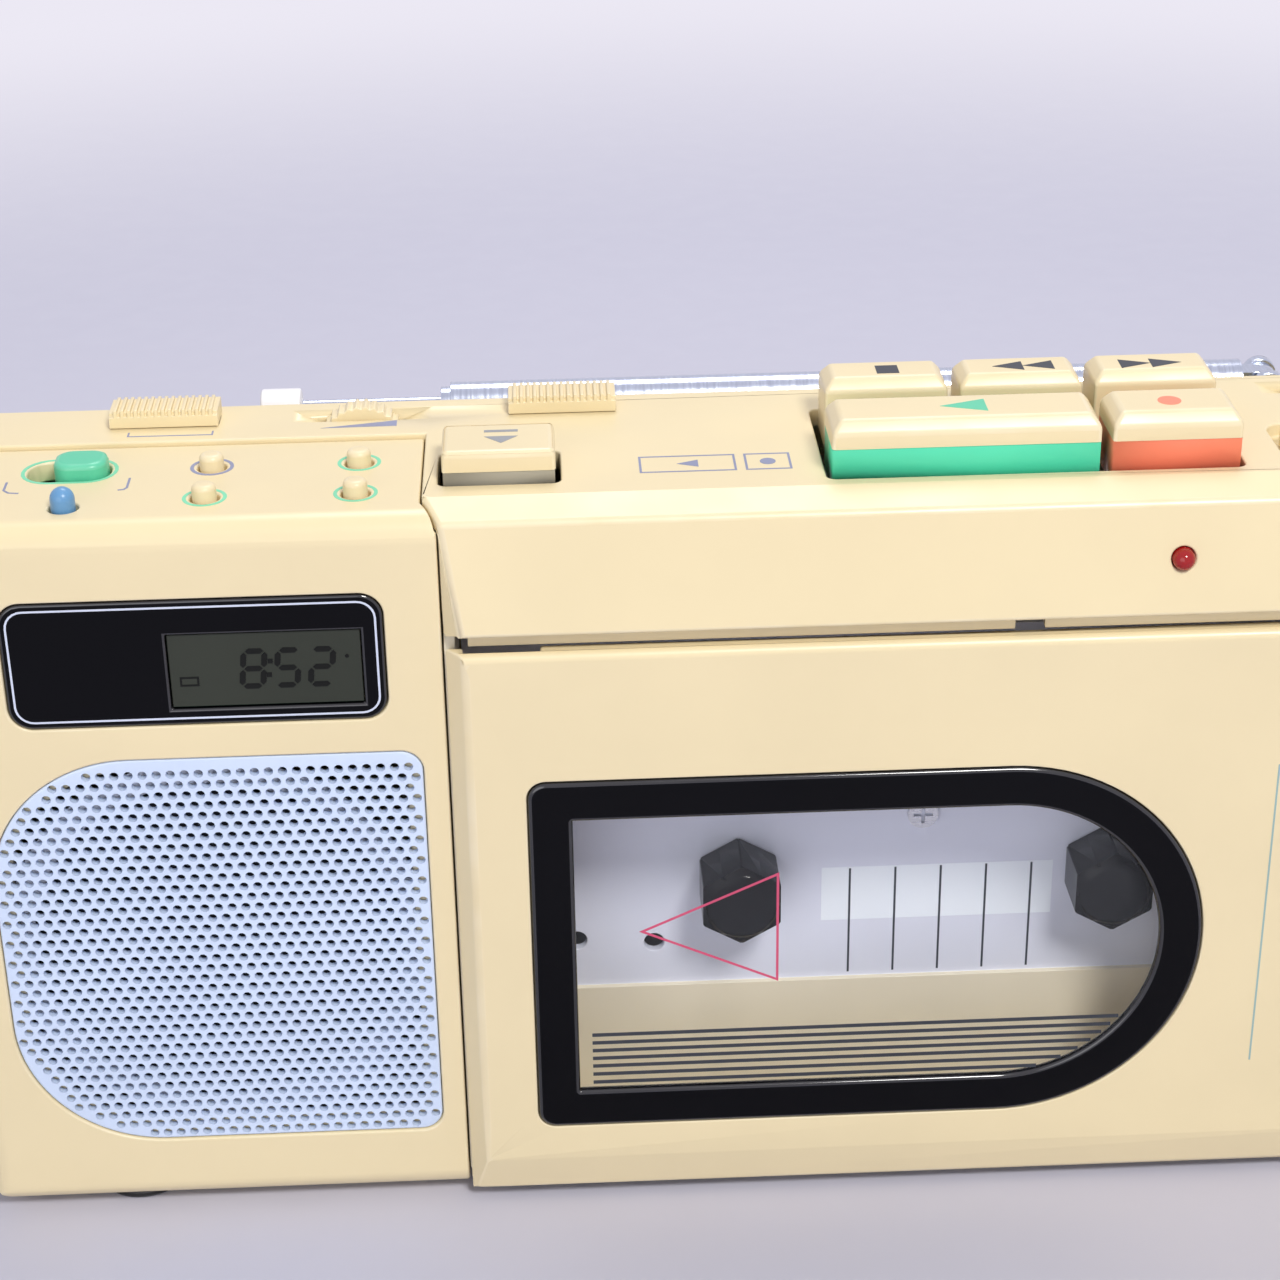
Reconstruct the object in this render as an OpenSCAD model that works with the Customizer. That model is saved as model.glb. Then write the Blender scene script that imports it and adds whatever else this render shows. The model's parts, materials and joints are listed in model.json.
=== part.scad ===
// Compact radio cassette recorder with a clock, standing on four feet.
// Lengths are millimetres. X runs left to right, Y front to back, Z up.
// The origin is on the surface it stands on, under the middle of the set.

/* [Cabinet] */
// Width over both end modules
body_w = 218; // [210:1:232]
// Height of the top plane above the cabinet's underside
body_h = 86; // [84:1:94]
// Depth from the cassette door's front to the back
body_d = 45; // [44:0.5:52]
// Wall thickness of the moulded shells
wall = 2.2; // [1.8:0.1:2.6]
// Radius of the four corners seen from the front
corner_r = 4.5; // [3:0.5:7]
// Radius along the front edges of the end modules
edge_r = 3; // [2:0.25:4]
// How far the brow and door stand in front of the end modules
front_step = 2.5; // [2.2:0.1:3]
// Visible gap between neighbouring mouldings
seam = 0.2; // [0.1:0.05:0.35]
// Width of the middle section between the end modules
centre_w = 106.8; // [106:0.2:110]
// How far the top deck reaches over the end modules
deck_lap = 1.5; // [1:0.25:2.5]
// Depth of the ledge behind the top deck, for the aerial, as a share of the body's depth
ledge_share = 0.2244; // [0.21:0.0002:0.26]
// Depth of that ledge below the top plane
ledge_drop = 6.4; // [6:0.2:8]
// How far behind the middle of the body the end modules reach
module_reach = 2; // [1:0.25:3]
// How far the clock keyboard lies below the top plane
clock_drop = 0.5; // [0.3:0.1:0.8]
// Height of the rubber feet
foot_h = 1; // [0.8:0.1:2]
// Radius of the rubber feet
foot_r = 5; // [4:0.5:7]

/* [Brow] */
// Height of the brow's lower edge
brow_z = 72.5; // [72:0.25:73.5]
// How far the brow's face leans forward at its lower edge
brow_lean = 2.3; // [1.8:0.1:2.6]
// Drop of the bevel between the top plane and the brow's face
bevel_drop = 1.2; // [0.8:0.1:1.6]
// Depth of that bevel
bevel_d = 4.4; // [3.5:0.2:5]
// Side chamfer of the brow and the door
side_chamfer = 1.9; // [1.2:0.1:2.2]
// Radius of the battery lamp
lamp_r = 1.2; // [1:0.1:1.5]
// Distance of the battery lamp from the middle
lamp_x = 24.4; // [15:0.2:35]

/* [Speaker and clock] */
// Margin between the grille and the sides of its module
grille_side = 4; // [3.8:0.1:6]
// Height of the perforated grille
grille_h = 49.7; // [46:0.1:50]
// Large corner radius of the grille, on its outer side
grille_r = 16; // [12:0.5:20]
// Small corner radius of the grille
grille_small_r = 2.5; // [1.5:0.25:4]
// Height of the grille's lower edge
grille_z = 8.7; // [7.5:0.1:9]
// Thickness of the grille sheet
grille_t = 0.9; // [0.6:0.1:1]
// How much smaller the loudspeaker's radius is than half the grille's width
speaker_in = 0.3; // [0.2:0.1:2]
// Radius of the loudspeaker's magnet
magnet_r = 13; // [10:0.5:15]
// Depth of the loudspeaker
speaker_d = 17; // [15:0.5:19]
// Margin between the display panel and the sides of its module
panel_side = 7.7; // [7:0.1:10]
// Height of the black display panel
panel_h = 14.8; // [13.5:0.1:15]
// Corner radius of the display panel
panel_r = 2.6; // [1.5:0.1:3.5]
// Height of the display panel's lower edge
panel_z = 62.4; // [62:0.1:63.5]
// Width of the liquid crystal glass as a share of its panel
lcd_share = 0.5075; // [0.45:0.0025:0.54]
// Height of the liquid crystal glass
lcd_h = 8.7; // [7.5:0.1:9.5]
// Radius of a clock button
button_r = 1.3; // [1:0.1:1.6]
// Height of a clock button above its keyboard
button_h = 1.6; // [1.2:0.1:2.4]
// Travel of a clock button
button_travel = 0.6; // [0.4:0.05:0.8]
// Length of the timer switch's knob
timer_l = 5.7; // [5:0.1:6.5]
// Width of the timer switch's knob
timer_w = 4.8; // [4:0.1:5.2]
// Travel of the timer switch
timer_travel = 2.7; // [2.5:0.1:4]

/* [Cassette bay] */
// Clearance between the cassette holder and the chassis sides
holder_gap = 0.4; // [0.3:0.05:0.6]
// Depth of the space for the cassette
pocket_d = 12.3; // [12:0.1:12.8]
// Height of the shelf that the cassette stands on
shelf_z = 5; // [4.6:0.1:5.2]
// Thickness of the door's skin
door_t = 2; // [1.6:0.1:2.4]
// Height of the door's upper edge
door_top = 70.6; // [69.5:0.1:71]
// Height of the door's lower edge
door_low = 0.6; // [0.4:0.1:0.9]
// Height of the bevel along the door's lower edge
door_bevel = 5.2; // [4:0.2:6]
// Distance of the hinge axis from the modules' front face
hinge_in = 2; // [1.8:0.1:2.4]
// Height of the hinge axis
hinge_z = 4.2; // [4:0.1:4.6]
// Radius of a hinge pin
hinge_r = 1; // [0.8:0.05:1.1]
// How far the window's rim stands in front of the door
rim_proud = 0.2; // [0.1:0.05:0.3]
// Width of the door's black window
window_w = 74.6; // [68:0.2:76]
// Height of the door's black window
window_h = 44.9; // [40:0.1:46]
// Distance of the window's left edge from the middle
window_x = 45; // [42:0.2:46]
// Height of the window's lower edge
window_z = 10.3; // [9.5:0.1:12]
// Width of the black rim
rim_w = 4.8; // [4:0.1:6]
// Distance between the two reel spindles
reel_pitch = 42.5; // [42.5:0.5:42.5]
// Height of the spindles
reel_z = 34.2; // [34.2:0.1:34.2]
// Radius over the corners of a spindle's six-sided hub
hub_r = 5.1; // [4.6:0.1:5.3]
// Length of a spindle in front of the deck plate
hub_l = 7.4; // [6.5:0.1:7.5]
// Thickness of the deck plate
plate_t = 1.2; // [1:0.1:1.5]

/* [Tape drive] */
// Clearance between the flywheel and the chassis side
flywheel_gap = 2.5; // [1.5:0.25:4]
// Height of the capstan
capstan_z = 58.5; // [57.5:0.5:59.5]
// Radius of the capstan shaft
capstan_r = 1; // [0.9:0.05:1.2]
// Radius of the flywheel
flywheel_r = 16.5; // [15:0.5:17]
// Thickness of the flywheel
flywheel_t = 4.2; // [3.5:0.1:4.4]
// Radius of the pinch roller
pinch_r = 6.5; // [5.5:0.25:7]
// Travel of the head bridge
head_travel = 9; // [7:0.25:9.5]
// Radius of the motor
motor_r = 12; // [10:0.5:13]
// Space behind the motor
motor_space = 3.8; // [2:0.2:6]
// Radius of the motor's pulley
pulley_r = 4; // [3:0.25:5]
// Thickness of the drive belt
belt_t = 1; // [0.8:0.1:1.2]

/* [Keys] */
// Distance of the key well's left end from the middle
well_left = 12.3; // [11.5:0.1:13]
// Width of the key well
well_w = 44.5; // [43:0.1:46]
// Depth of the key well, front to back
well_d = 20; // [19:0.1:21]
// Distance of the key well behind the top plane's front crease
well_in = 1.6; // [1.2:0.1:2]
// Height of the tape keys above the top plane
key_h = 6; // [4.5:0.1:6.5]
// Height of the coloured band on the front of a key
key_band = 3; // [2.5:0.1:4]
// Depth of a front key
front_key_d = 8.2; // [7:0.1:9]
// Depth of a rear key
rear_key_d = 6.6; // [5.5:0.1:7.5]
// Width of the play key
play_w = 28.5; // [26:0.1:30]
// Gap between the play key and the record key
play_gap = 1.2; // [0.8:0.1:1.6]
// Gap between the rear keys
rear_gap = 1.3; // [0.5:0.1:1.5]
// Gap at the left of the rear keys
rear_in = 1; // [0.5:0.1:1.4]
// Chamfer round the top of a key
key_chamfer = 1.3; // [0.8:0.1:1.8]
// Gap between the keys and their well
key_gap = 0.5; // [0.35:0.05:0.7]
// Travel of a tape key
key_travel = 3.2; // [2.5:0.1:3.4]
// Width of the eject key
eject_w = 12; // [11:0.1:12.2]
// Depth of the eject key
eject_d = 8; // [7:0.1:9]
// Height of the eject key above the top plane
eject_h = 3.5; // [3:0.1:4.5]

/* [Switches and wheels] */
// Length of a ridged slide switch
slide_l = 12; // [10:0.2:13]
// Depth of a ridged slide switch
slide_d = 4.6; // [4:0.1:5]
// Height of a ridged slide switch
slide_h = 2.1; // [1.6:0.1:2.6]
// Travel of a ridged slide switch
slide_travel = 4; // [3:0.2:4.4]
// Radius of the volume and tuning wheels
wheel_r = 5; // [4.5:0.1:5.4]
// Thickness of the wheels
wheel_t = 2.8; // [2.4:0.1:4.6]
// How far a wheel stands out of the top plane
wheel_out = 1.5; // [1:0.1:2]
// Width of the finger scoop round a wheel
scoop_w = 15.6; // [14:0.2:17]
// Depth of the finger scoop
scoop_d = 2; // [1.6:0.1:2.2]
// Width of the band switch's well
band_well_w = 15; // [14:0.2:16]
// Depth of the band switch's well, front to back
band_well_d = 9.6; // [9:0.1:11]

/* [Tuner] */
// Margin between the dial and the sides of its module
dial_side = 7.8; // [7.6:0.1:12]
// Height of the tuning dial
dial_h = 62; // [54:0.5:64]
// Height of the dial's lower edge
dial_z = 14; // [12:0.2:16]
// Travel of the dial pointer
pointer_travel = 40; // [30:1:42]

/* [Aerial] */
// Distance of the aerial's pivot from the middle, to the right
aerial_x = 42; // [40:0.5:46]
// Radius of the outer aerial tube
aerial_r = 2.5; // [2.2:0.1:2.8]
// Length of the folded aerial from pivot to tip
aerial_l = 116.2; // [100:0.2:125]
// Wall of each aerial tube
aerial_wall = 0.45; // [0.4:0.05:0.5]

/* [Batteries] */
// Inside width of the battery compartment
battery_w = 103; // [102.5:0.1:103.5]
// Inside depth of the battery compartment
battery_d = 14.8; // [14.6:0.1:15]
// Inside height of the battery compartment
battery_h = 29.5; // [29:0.5:31]
// Height of the compartment's floor
battery_z = 5; // [4:0.2:6]

/* [Fits] */
// Radial clearance of a pin that turns in its hole
run_fit = 0.05; // [0.02:0.01:0.08]
// Clearance between parts that slide or nest
slip = 0.3; // [0.2:0.05:0.4]
// Clearance between parts that are seated on each other
seat = 0.1; // [0.05:0.01:0.15]

/* [Hidden] */
$fn = 64;

// Planes of the cabinet
half_w = body_w / 2;
half_c = centre_w / 2;
module_w = half_w - half_c;
module_x = half_c + module_w / 2;
deck_half = half_c + deck_lap;
y_rim = -body_d / 2;
y_door = y_rim + rim_proud;
y_mod = y_rim + front_step;
y_part = module_reach;
module_d = y_part - y_mod;
y_back = body_d / 2;
ledge_d = ledge_share * body_d;
y_ledge = y_back - ledge_d;
y_strip = y_part + seam;
z_under = body_h - wall;
z_ledge = body_h - ledge_drop;
z_clock = body_h - clock_drop;
z_clock_under = z_clock - wall;
y_crease = y_mod + bevel_d;
z_brow = body_h - bevel_drop;
y_brow = y_mod - brow_lean;
y_wall = y_mod + wall;
over = 1;

// Cassette bay
door_r = 1;
chassis_t = 1.2;
ear_t = 1;
x_side = half_c - seam;
x_inside = x_side - chassis_t;
x_ear = x_inside - holder_gap;
x_pocket = x_ear - ear_t;
y_skin = y_door + door_t;
y_deck = y_skin + pocket_d;
y_deck_back = y_deck + plate_t;
y_hinge = y_mod + hinge_in;
y_sill = y_hinge + seam;
z_sill = chassis_t;
z_lintel = door_top + chassis_t;
strip_drop = 0.7;
lintel_h = 3.7;
window_flat = 0.1;
window_r = (window_h - window_flat) / 2;
window_mid_z = window_z + window_r;
window_small_r = 2;
rim_t = 1;
rim_rest = 1.5;
lens_sunk = 0.2;
reel_x = reel_pitch / 2;
spindle_r = 2;
apron_top = 19.8;
apron_t = 0.6;

// Layers of the tape drive behind the deck plate
reel_disc_r = 12;
reel_disc_t = 2;
y_reel = y_deck_back + slip;
y_fly = y_reel + reel_disc_t + slip;
y_bracket = y_fly + flywheel_t + slip;
bracket_t = 1.2;
y_motor = y_bracket + bracket_t;
capstan_x = x_inside - flywheel_r - flywheel_gap;
motor_in = 5;
motor_drop = 4;
motor_x = capstan_x - motor_in;
motor_z = capstan_z - motor_drop;
motor_l = y_back - wall - y_motor - motor_space;
bracket_z = 39;
shaft_r = 0.9;
shaft_in = 3;
belt_w = 1.2;
belt_sunk = 0.2;
head_t = 1.2;
y_head = y_deck - seam - head_t;
head_d = 6;
bridge_under = 4.6;
bridge_over = 2.9;
bridge_side = 9;
bridge_right = 22;
head_low = door_top - bridge_under;
head_top = door_top + bridge_over;
pinch_z = capstan_z + capstan_r + pinch_r + head_travel;

// Keys
x_well = -well_left;
y_well = y_crease + well_in;
key_top = body_h + key_h;
key_skirt = 2;
key_low = body_h - key_skirt;
key_plate_t = 1.2;
z_key_plate = key_low - key_travel - 2 * slip - key_plate_t;
stem_w = 4;
z_stem = head_top + key_travel + 2 * slip;
rear_key_w = (well_w - rear_in - 2 * rear_gap - key_gap) / 3;
record_x = x_well + key_gap + play_w + play_gap;
record_w = x_well + well_w - key_gap - record_x;
eject_side = 0.6;
eject_in = 3.4;
x_eject = -(half_c - eject_side - eject_w / 2);
y_eject = y_crease + eject_in;
eject_band = 1.2;
eject_chamfer = 0.4;
skirt_in = 0.1;

// Controls on the top
volume_in = 8.8;
tuning_in = 6.7;
volume_x = -(half_c + volume_in);
tuning_x = half_c - tuning_in;
y_wheel = y_ledge - wall - slip - wheel_t;
z_wheel = body_h + wheel_out - wheel_r;
axle_r = 1;
lug_t = 2;
scoop_r = (pow(scoop_w / 2, 2) + pow(scoop_d, 2)) / (2 * scoop_d);
scoop_front = 0.6;
y_scoop = y_wheel - scoop_front;
neck_l = 3.2;
neck_w = 1.8;
function_side = 0.55;
function_share = 0.6;
function_x = -(half_c + function_side * module_w);
function_y = y_strip + function_share * (y_ledge - y_strip);
tape_in = 13.6;
tape_x = -(half_c - tape_in);
tape_back = 0.2;
tape_y = y_ledge - wall - slip - neck_w / 2;
band_side = 1.6;
band_in = 3.6;
x_band = half_c - band_side - band_well_w;
y_band = y_crease + band_in;
band_drop = 1.6;
x_band_slide = x_band + 5.2;
y_band_slide = y_band + band_well_d / 2;
band_slide_l = 8;
column_side = [0.437, 0.153];
sleep_side = 0.698;
timer_side = 0.687;
row_in = [11.2, 2.9];
sleep_in = 1.4;
column_x = [for (c = column_side) -(half_c + c * module_w)];
row_y = [for (r = row_in) y_crease + r];
sleep_x = -(half_c + sleep_side * module_w);
sleep_y = y_crease + sleep_in;
timer_x = -(half_c + timer_side * module_w);
timer_y = row_y[0];
button_tail = 1.9;
board_drop = button_tail + button_travel + seam;
z_board = z_clock_under - board_drop;
board_t = 1.4;

// Left and right module fronts
panel_w = module_w - 2 * panel_side;
panel_in = 1.8;
panel_x = -(module_x - panel_in);
panel_t = 1.4;
panel_mid_z = panel_z + panel_h / 2;
lcd_w = lcd_share * panel_w;
lcd_side = 2.5;
lcd_right = (panel_w - lcd_w) / 2 - lcd_side;
lcd_down = 1.1;
lcd_x = panel_x + lcd_right;
lcd_z = panel_mid_z - lcd_down;
lcd_sunk = 0.35;
lcd_back = 0.6;
grille_w = module_w - 2 * grille_side;
grille_in = 1.4;
grille_x = -(module_x - grille_in);
speaker_r = grille_w / 2 - speaker_in;
speaker_rim = 3;
grille_mid_z = grille_z + grille_h / 2;
grille_front = 0.2;
dial_w = module_w - 2 * dial_side;
dial_x = module_x - panel_in;
dial_mid_z = dial_z + dial_h / 2;
dial_r = 3;
dial_t = 1.2;
lens_in = 1.5;
y_scale = y_wall + seat;
scale_t = 1;
pointer_w = 1.6;
pointer_h = 1;
pointer_in = 3;
x_pointer = dial_x - dial_w / 2 + lens_in + pointer_in;

// Aerial
aerial_front = 0.3;
aerial_rise = 1.5;
y_aerial = y_ledge + ledge_d / 2 - aerial_front;
z_aerial = z_ledge + aerial_r + aerial_rise;
tip_l = 4.6;
tip_r = 2.3;
x_tip = aerial_x - aerial_l;
pivot_r = 0.8;
eye_r = 1.9;
ear_gap = 1.6;
rod_r = 0.9;
rod_out = 16;
x_middle = x_tip + tip_l + rod_out;
aerial_step = 1.1;
x_tube = x_middle + aerial_step;

// Battery compartment
box_t = 1.2;
y_cells = y_back - wall - battery_d;
cover_r = (wall - seat) / 2;
y_cover = y_back - cover_r;
z_cover = battery_z + slip + cover_r;
cover_pin_r = 0.6;
cover_pin_l = 1.2;

// Main board, ferrite bar and jacks
main_in = 2;
main_side = 1.4;
main_margin = 13.6;
y_main = y_part + main_in;
x_main = half_c + wall + main_side;
main_w = module_w - main_margin;
main_z = 8;
main_h = 66;
post_in = 3;
board_post_x = [x_main + post_in, x_main + main_w - post_in];
board_post_z = [main_z + post_in, main_z + main_h - post_in];
ferrite_r = 4;
ferrite_l = 74;
ferrite_x = [-26, 26];
ferrite_gap = 3.3;
ferrite_drop = 6.4;
y_ferrite = y_motor + ferrite_gap + ferrite_r;
z_ferrite = z_ledge - ferrite_drop;
jack_in = 9;
jack_y = y_part + jack_in;
jack_z = [26, 38, 50];
jack_r = 4;
jack_l = 9;
lamp_up = 6.2;
lamp_z = brow_z + lamp_up;
swivel_r = 2;

// Screws that hold the back
screw_in = 6;
screw_x = half_w - screw_in;
screw_z = [6.6, 74];
boss_r = 3.2;
screw_r = 1.5;
screw_head_r = 2.6;
screw_head_t = 1.3;
screw_sunk = 0.3;
screw_grip = 5;

// Colours
cream = [0.96, 0.89, 0.72];
pale = [0.80, 0.78, 0.86];
black = [0.05, 0.05, 0.06];
green = [0.40, 0.88, 0.72];
coral = [0.99, 0.50, 0.38];
blue = [0.50, 0.68, 0.88];
grey = [0.62, 0.61, 0.58];
steel = [0.75, 0.76, 0.78];
board_green = [0.16, 0.40, 0.25];

// Everything stands on the feet
module raise() {
  translate([0, 0, foot_h]) children();
}

module along_x(x0, x1) {
  translate([x0, 0, 0]) rotate([90, 0, 90]) linear_extrude(x1 - x0) children();
}

module along_y(y0, y1) {
  translate([0, y1, 0]) rotate([90, 0, 0]) linear_extrude(y1 - y0) children();
}

module along_z(z0, z1) {
  translate([0, 0, z0]) linear_extrude(z1 - z0) children();
}

module block(x0, x1, y0, y1, z0, z1) {
  translate([x0, y0, z0]) cube([x1 - x0, y1 - y0, z1 - z0]);
}

module rod_x(y, z, x0, x1, r) {
  translate([x0, y, z]) rotate([0, 90, 0]) cylinder(h = x1 - x0, r = r);
}

module rod_y(x, z, y0, y1, r) {
  translate([x, y1, z]) rotate([90, 0, 0]) cylinder(h = y1 - y0, r = r);
}

module rod_z(x, y, z0, z1, r) {
  translate([x, y, z0]) cylinder(h = z1 - z0, r = r);
}

// A shape and its mirror image on the other side of the middle
module both_sides() {
  children();
  mirror([1, 0, 0]) children();
}

// A shape turned about an axis along Y: its outline holds radius and Y
module turn_y(x, z) {
  translate([x, 0, z]) rotate([-90, 0, 0]) rotate_extrude() children();
}

// A rectangle with one radius on its left corners and one on its right
module plate(w, h, r_left, r_right) {
  translate([-w / 2 + r_left, -h / 2]) square([w - r_left - r_right, h]);
  translate([-w / 2, -h / 2 + r_left]) square([w / 2, h - 2 * r_left]);
  translate([0, -h / 2 + r_right]) square([w / 2, h - 2 * r_right]);
  for (s = [-1, 1]) {
    translate([-w / 2 + r_left, s * (h / 2 - r_left)]) circle(r_left);
    translate([w / 2 - r_right, s * (h / 2 - r_right)]) circle(r_right);
  }
}

module rounded(w, h, r) {
  plate(w, h, r, r);
}

// Outline of the whole set seen from the front
module front_outline() {
  translate([0, body_h / 2]) rounded(body_w, body_h, corner_r);
}

// A rectangle given by its low corner, with one radius
module rounded_from(x, y, w, h, r) {
  translate([x + w / 2, y + h / 2]) rounded(w, h, r);
}

// The left end module as a rounded shell, open at the back
module end_shell() {
  spare = 2 * edge_r;
  difference() {
    intersection() {
      along_y(y_mod, y_part) front_outline();
      along_x(-half_w, -half_c) rounded_from(y_mod, 0, module_d + spare, z_clock, edge_r);
      along_z(0, z_clock) rounded_from(-half_w, y_mod, half_w - half_c + spare, module_d + spare, edge_r);
    }
    along_y(y_wall, y_part + over)
      rounded_from(-half_w + wall, wall, half_w - half_c - 2 * wall, z_clock_under - wall, corner_r - wall);
    along_z(z_under - seam, body_h + over)
      polygon([[-half_c + over, y_mod], [-half_c, y_mod], [-deck_half - seam, y_crease],
               [-deck_half - seam, y_part + over], [-half_c + over, y_part + over]]);
  }
}

// Bosses for the screws that come in from the back
module end_bosses() {
  for (z = screw_z) rod_y(-screw_x, z, y_wall - over / 2, y_part, boss_r);
}

module pilot_holes() {
  for (z = screw_z) rod_y(-screw_x, z, y_wall + over, y_part + over, screw_r + seat);
}

// A flat recess in a module's front, with an opening through its floor
module front_recess(x, z, depth) {
  translate([x, 0, z]) along_y(y_mod - over, y_mod + depth) children(0);
  translate([x, 0, z]) along_y(y_mod, y_wall + over) children(1);
}

module left_module() {
  board_post_r = 1.6;
  rest = 2;
  outer_post_x = -half_w + wall + 2 * board_post_r;
  color(cream) raise() difference() {
    union() {
      end_shell();
      end_bosses();
      for (x = [outer_post_x, (column_x[0] + column_x[1]) / 2])
        rod_z(x, (row_y[0] + row_y[1]) / 2, z_board, z_clock_under + over / 2, board_post_r);
    }
    pilot_holes();
    front_recess(grille_x, grille_mid_z, grille_front + grille_t + seat) {
      plate(grille_w, grille_h, grille_r, grille_small_r);
      plate(grille_w - 2 * rest, grille_h - 2 * rest, grille_r - rest, grille_small_r - rest / 2);
    }
    front_recess(panel_x, panel_mid_z, panel_t + seat) {
      rounded(panel_w, panel_h, panel_r);
      translate([lcd_right, -lcd_down]) square([lcd_w, lcd_h], center = true);
    }
    for (x = column_x, y = row_y) rod_z(x, y, z_clock_under - over, z_clock + over, button_r + slip);
    rod_z(sleep_x, sleep_y, z_clock_under - over, z_clock + over, button_r + slip);
    translate([timer_x - timer_travel / 2, timer_y, 0]) along_z(z_clock_under - over, z_clock + over)
      rounded(timer_l + timer_travel + 2 * slip, timer_w + 2 * slip, timer_w / 2);
  }
}

module right_module() {
  color(cream) raise() difference() {
    mirror([1, 0, 0]) difference() {
      union() {
        end_shell();
        end_bosses();
      }
      pilot_holes();
    }
    front_recess(dial_x, dial_mid_z, dial_t + seat) {
      rounded(dial_w, dial_h, dial_r);
      rounded(dial_w - 2 * lens_in, dial_h - 2 * lens_in, dial_r - lens_in);
    }
  }
}

// Section of the brow and the deck behind it
module deck_section() {
  polygon([[y_brow, brow_z], [y_mod, z_brow], [y_crease, body_h], [y_ledge, body_h],
           [y_ledge, z_under], [y_crease + seam, z_under], [y_wall - seam, z_brow - wall],
           [y_brow + wall, brow_z]]);
}

// The same section filled, to trim what sits under the bevel
module deck_envelope() {
  polygon([[y_brow, brow_z], [y_mod, z_brow], [y_crease, body_h], [y_ledge, body_h], [y_ledge, brow_z]]);
}

// Plan of the middle section with its chamfered front corners
module middle_plan() {
  polygon([[-x_side + side_chamfer, y_brow], [x_side - side_chamfer, y_brow], [x_side, y_mod],
           [x_side, y_ledge], [-x_side, y_ledge], [-x_side, y_mod]]);
}

// Plan of the top plate: the middle, its laps and the strip along the back
module deck_plan() {
  polygon([[-x_side, y_mod], [x_side, y_mod], [deck_half, y_crease], [deck_half, y_strip],
           [half_w, y_strip], [half_w, y_ledge], [-half_w, y_ledge], [-half_w, y_strip],
           [-deck_half, y_strip], [-deck_half, y_crease]]);
}

// Thick patch under the deck that carries a wheel's scoop and its bearing
module wheel_patch(x) {
  block(x - scoop_w / 2 - over, x + scoop_w / 2 + over, y_scoop - over, y_ledge - wall / 2,
        z_under - scoop_d, z_under + over / 2);
  lug_half = 2.5;
  block(x - lug_half, x + lug_half, y_wheel - slip - lug_t, y_wheel - slip, z_wheel - lug_half, z_under);
}

module wheel_cut(x) {
  rod_y(x, body_h - scoop_d + scoop_r, y_scoop, y_ledge - wall, scoop_r);
  rod_y(x, z_wheel, y_wheel - slip, y_wheel + wheel_t + slip / 2, wheel_r + slip);
  rod_y(x, z_wheel, y_wheel - slip - lug_t - over, y_ledge - wall / 3, axle_r + run_fit);
}

module slide_slot(x, y, z0) {
  block(x - neck_l / 2 - slip, x + neck_l / 2 + slide_travel + slip,
        y - neck_w / 2 - slip, y + neck_w / 2 + slip, z0, body_h + over);
}

// The strip in two lengths that hangs behind the brow, over the door
module brow_strip() {
  strip_break = [7, 10.2];
  lengths = [[-x_pocket, strip_break[0]], [strip_break[1], x_pocket]];
  strip_in = 1.1;
  strip_t = 1;
  for (l = lengths) block(l[0], l[1], y_brow + strip_in, y_brow + strip_in + strip_t,
                          door_top + strip_drop, brow_z + over);
}

module top_deck() {
  well_r = 1;
  color(cream) raise() difference() {
    union() {
      intersection() {
        along_x(-x_side, x_side) deck_section();
        along_z(brow_z - over, body_h) middle_plan();
      }
      intersection() {
        along_z(z_under, body_h) deck_plan();
        along_x(-half_w, half_w) deck_envelope();
        along_y(y_brow, y_ledge) front_outline();
      }
      intersection() {
        block(-half_w, half_w, y_ledge - wall, y_ledge, z_ledge + seam, body_h);
        along_y(y_brow, y_ledge) front_outline();
      }
      wheel_patch(volume_x);
      wheel_patch(tuning_x);
      brow_strip();
      block(x_band - over, x_band + band_well_w + over, y_band - over, y_band + band_well_d + over,
            z_under - band_drop, z_under + over / 2);
    }
    along_z(z_under - over, body_h + over) rounded_from(x_well, y_well, well_w, well_d, well_r);
    translate([x_eject, y_eject + eject_d / 2, 0]) along_z(z_under - over, body_h + over)
      rounded(eject_w + 2 * key_gap, eject_d + 2 * key_gap, well_r);
    wheel_cut(volume_x);
    wheel_cut(tuning_x);
    slide_slot(function_x, function_y, z_under - over);
    slide_slot(tape_x, tape_y, z_under - over);
    along_z(body_h - band_drop, body_h + over)
      rounded_from(x_band, y_band, band_well_w, band_well_d, 2 * well_r);
    slide_slot(x_band_slide, y_band_slide, z_under - band_drop - over);
    rod_y(lamp_x, lamp_z, y_brow - over, y_wall + over, lamp_r + seat);
  }
}

// Back shell before its ledge is cut
module rear_block() {
  spare = 2 * edge_r;
  intersection() {
    along_y(y_strip, y_back) front_outline();
    along_x(-half_w, half_w) rounded_from(y_strip - spare, 0, y_back - y_strip + spare, body_h, edge_r);
    along_z(0, body_h)
      rounded_from(-half_w, y_strip - spare, body_w, y_back - y_strip + spare, edge_r);
  }
}

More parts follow.
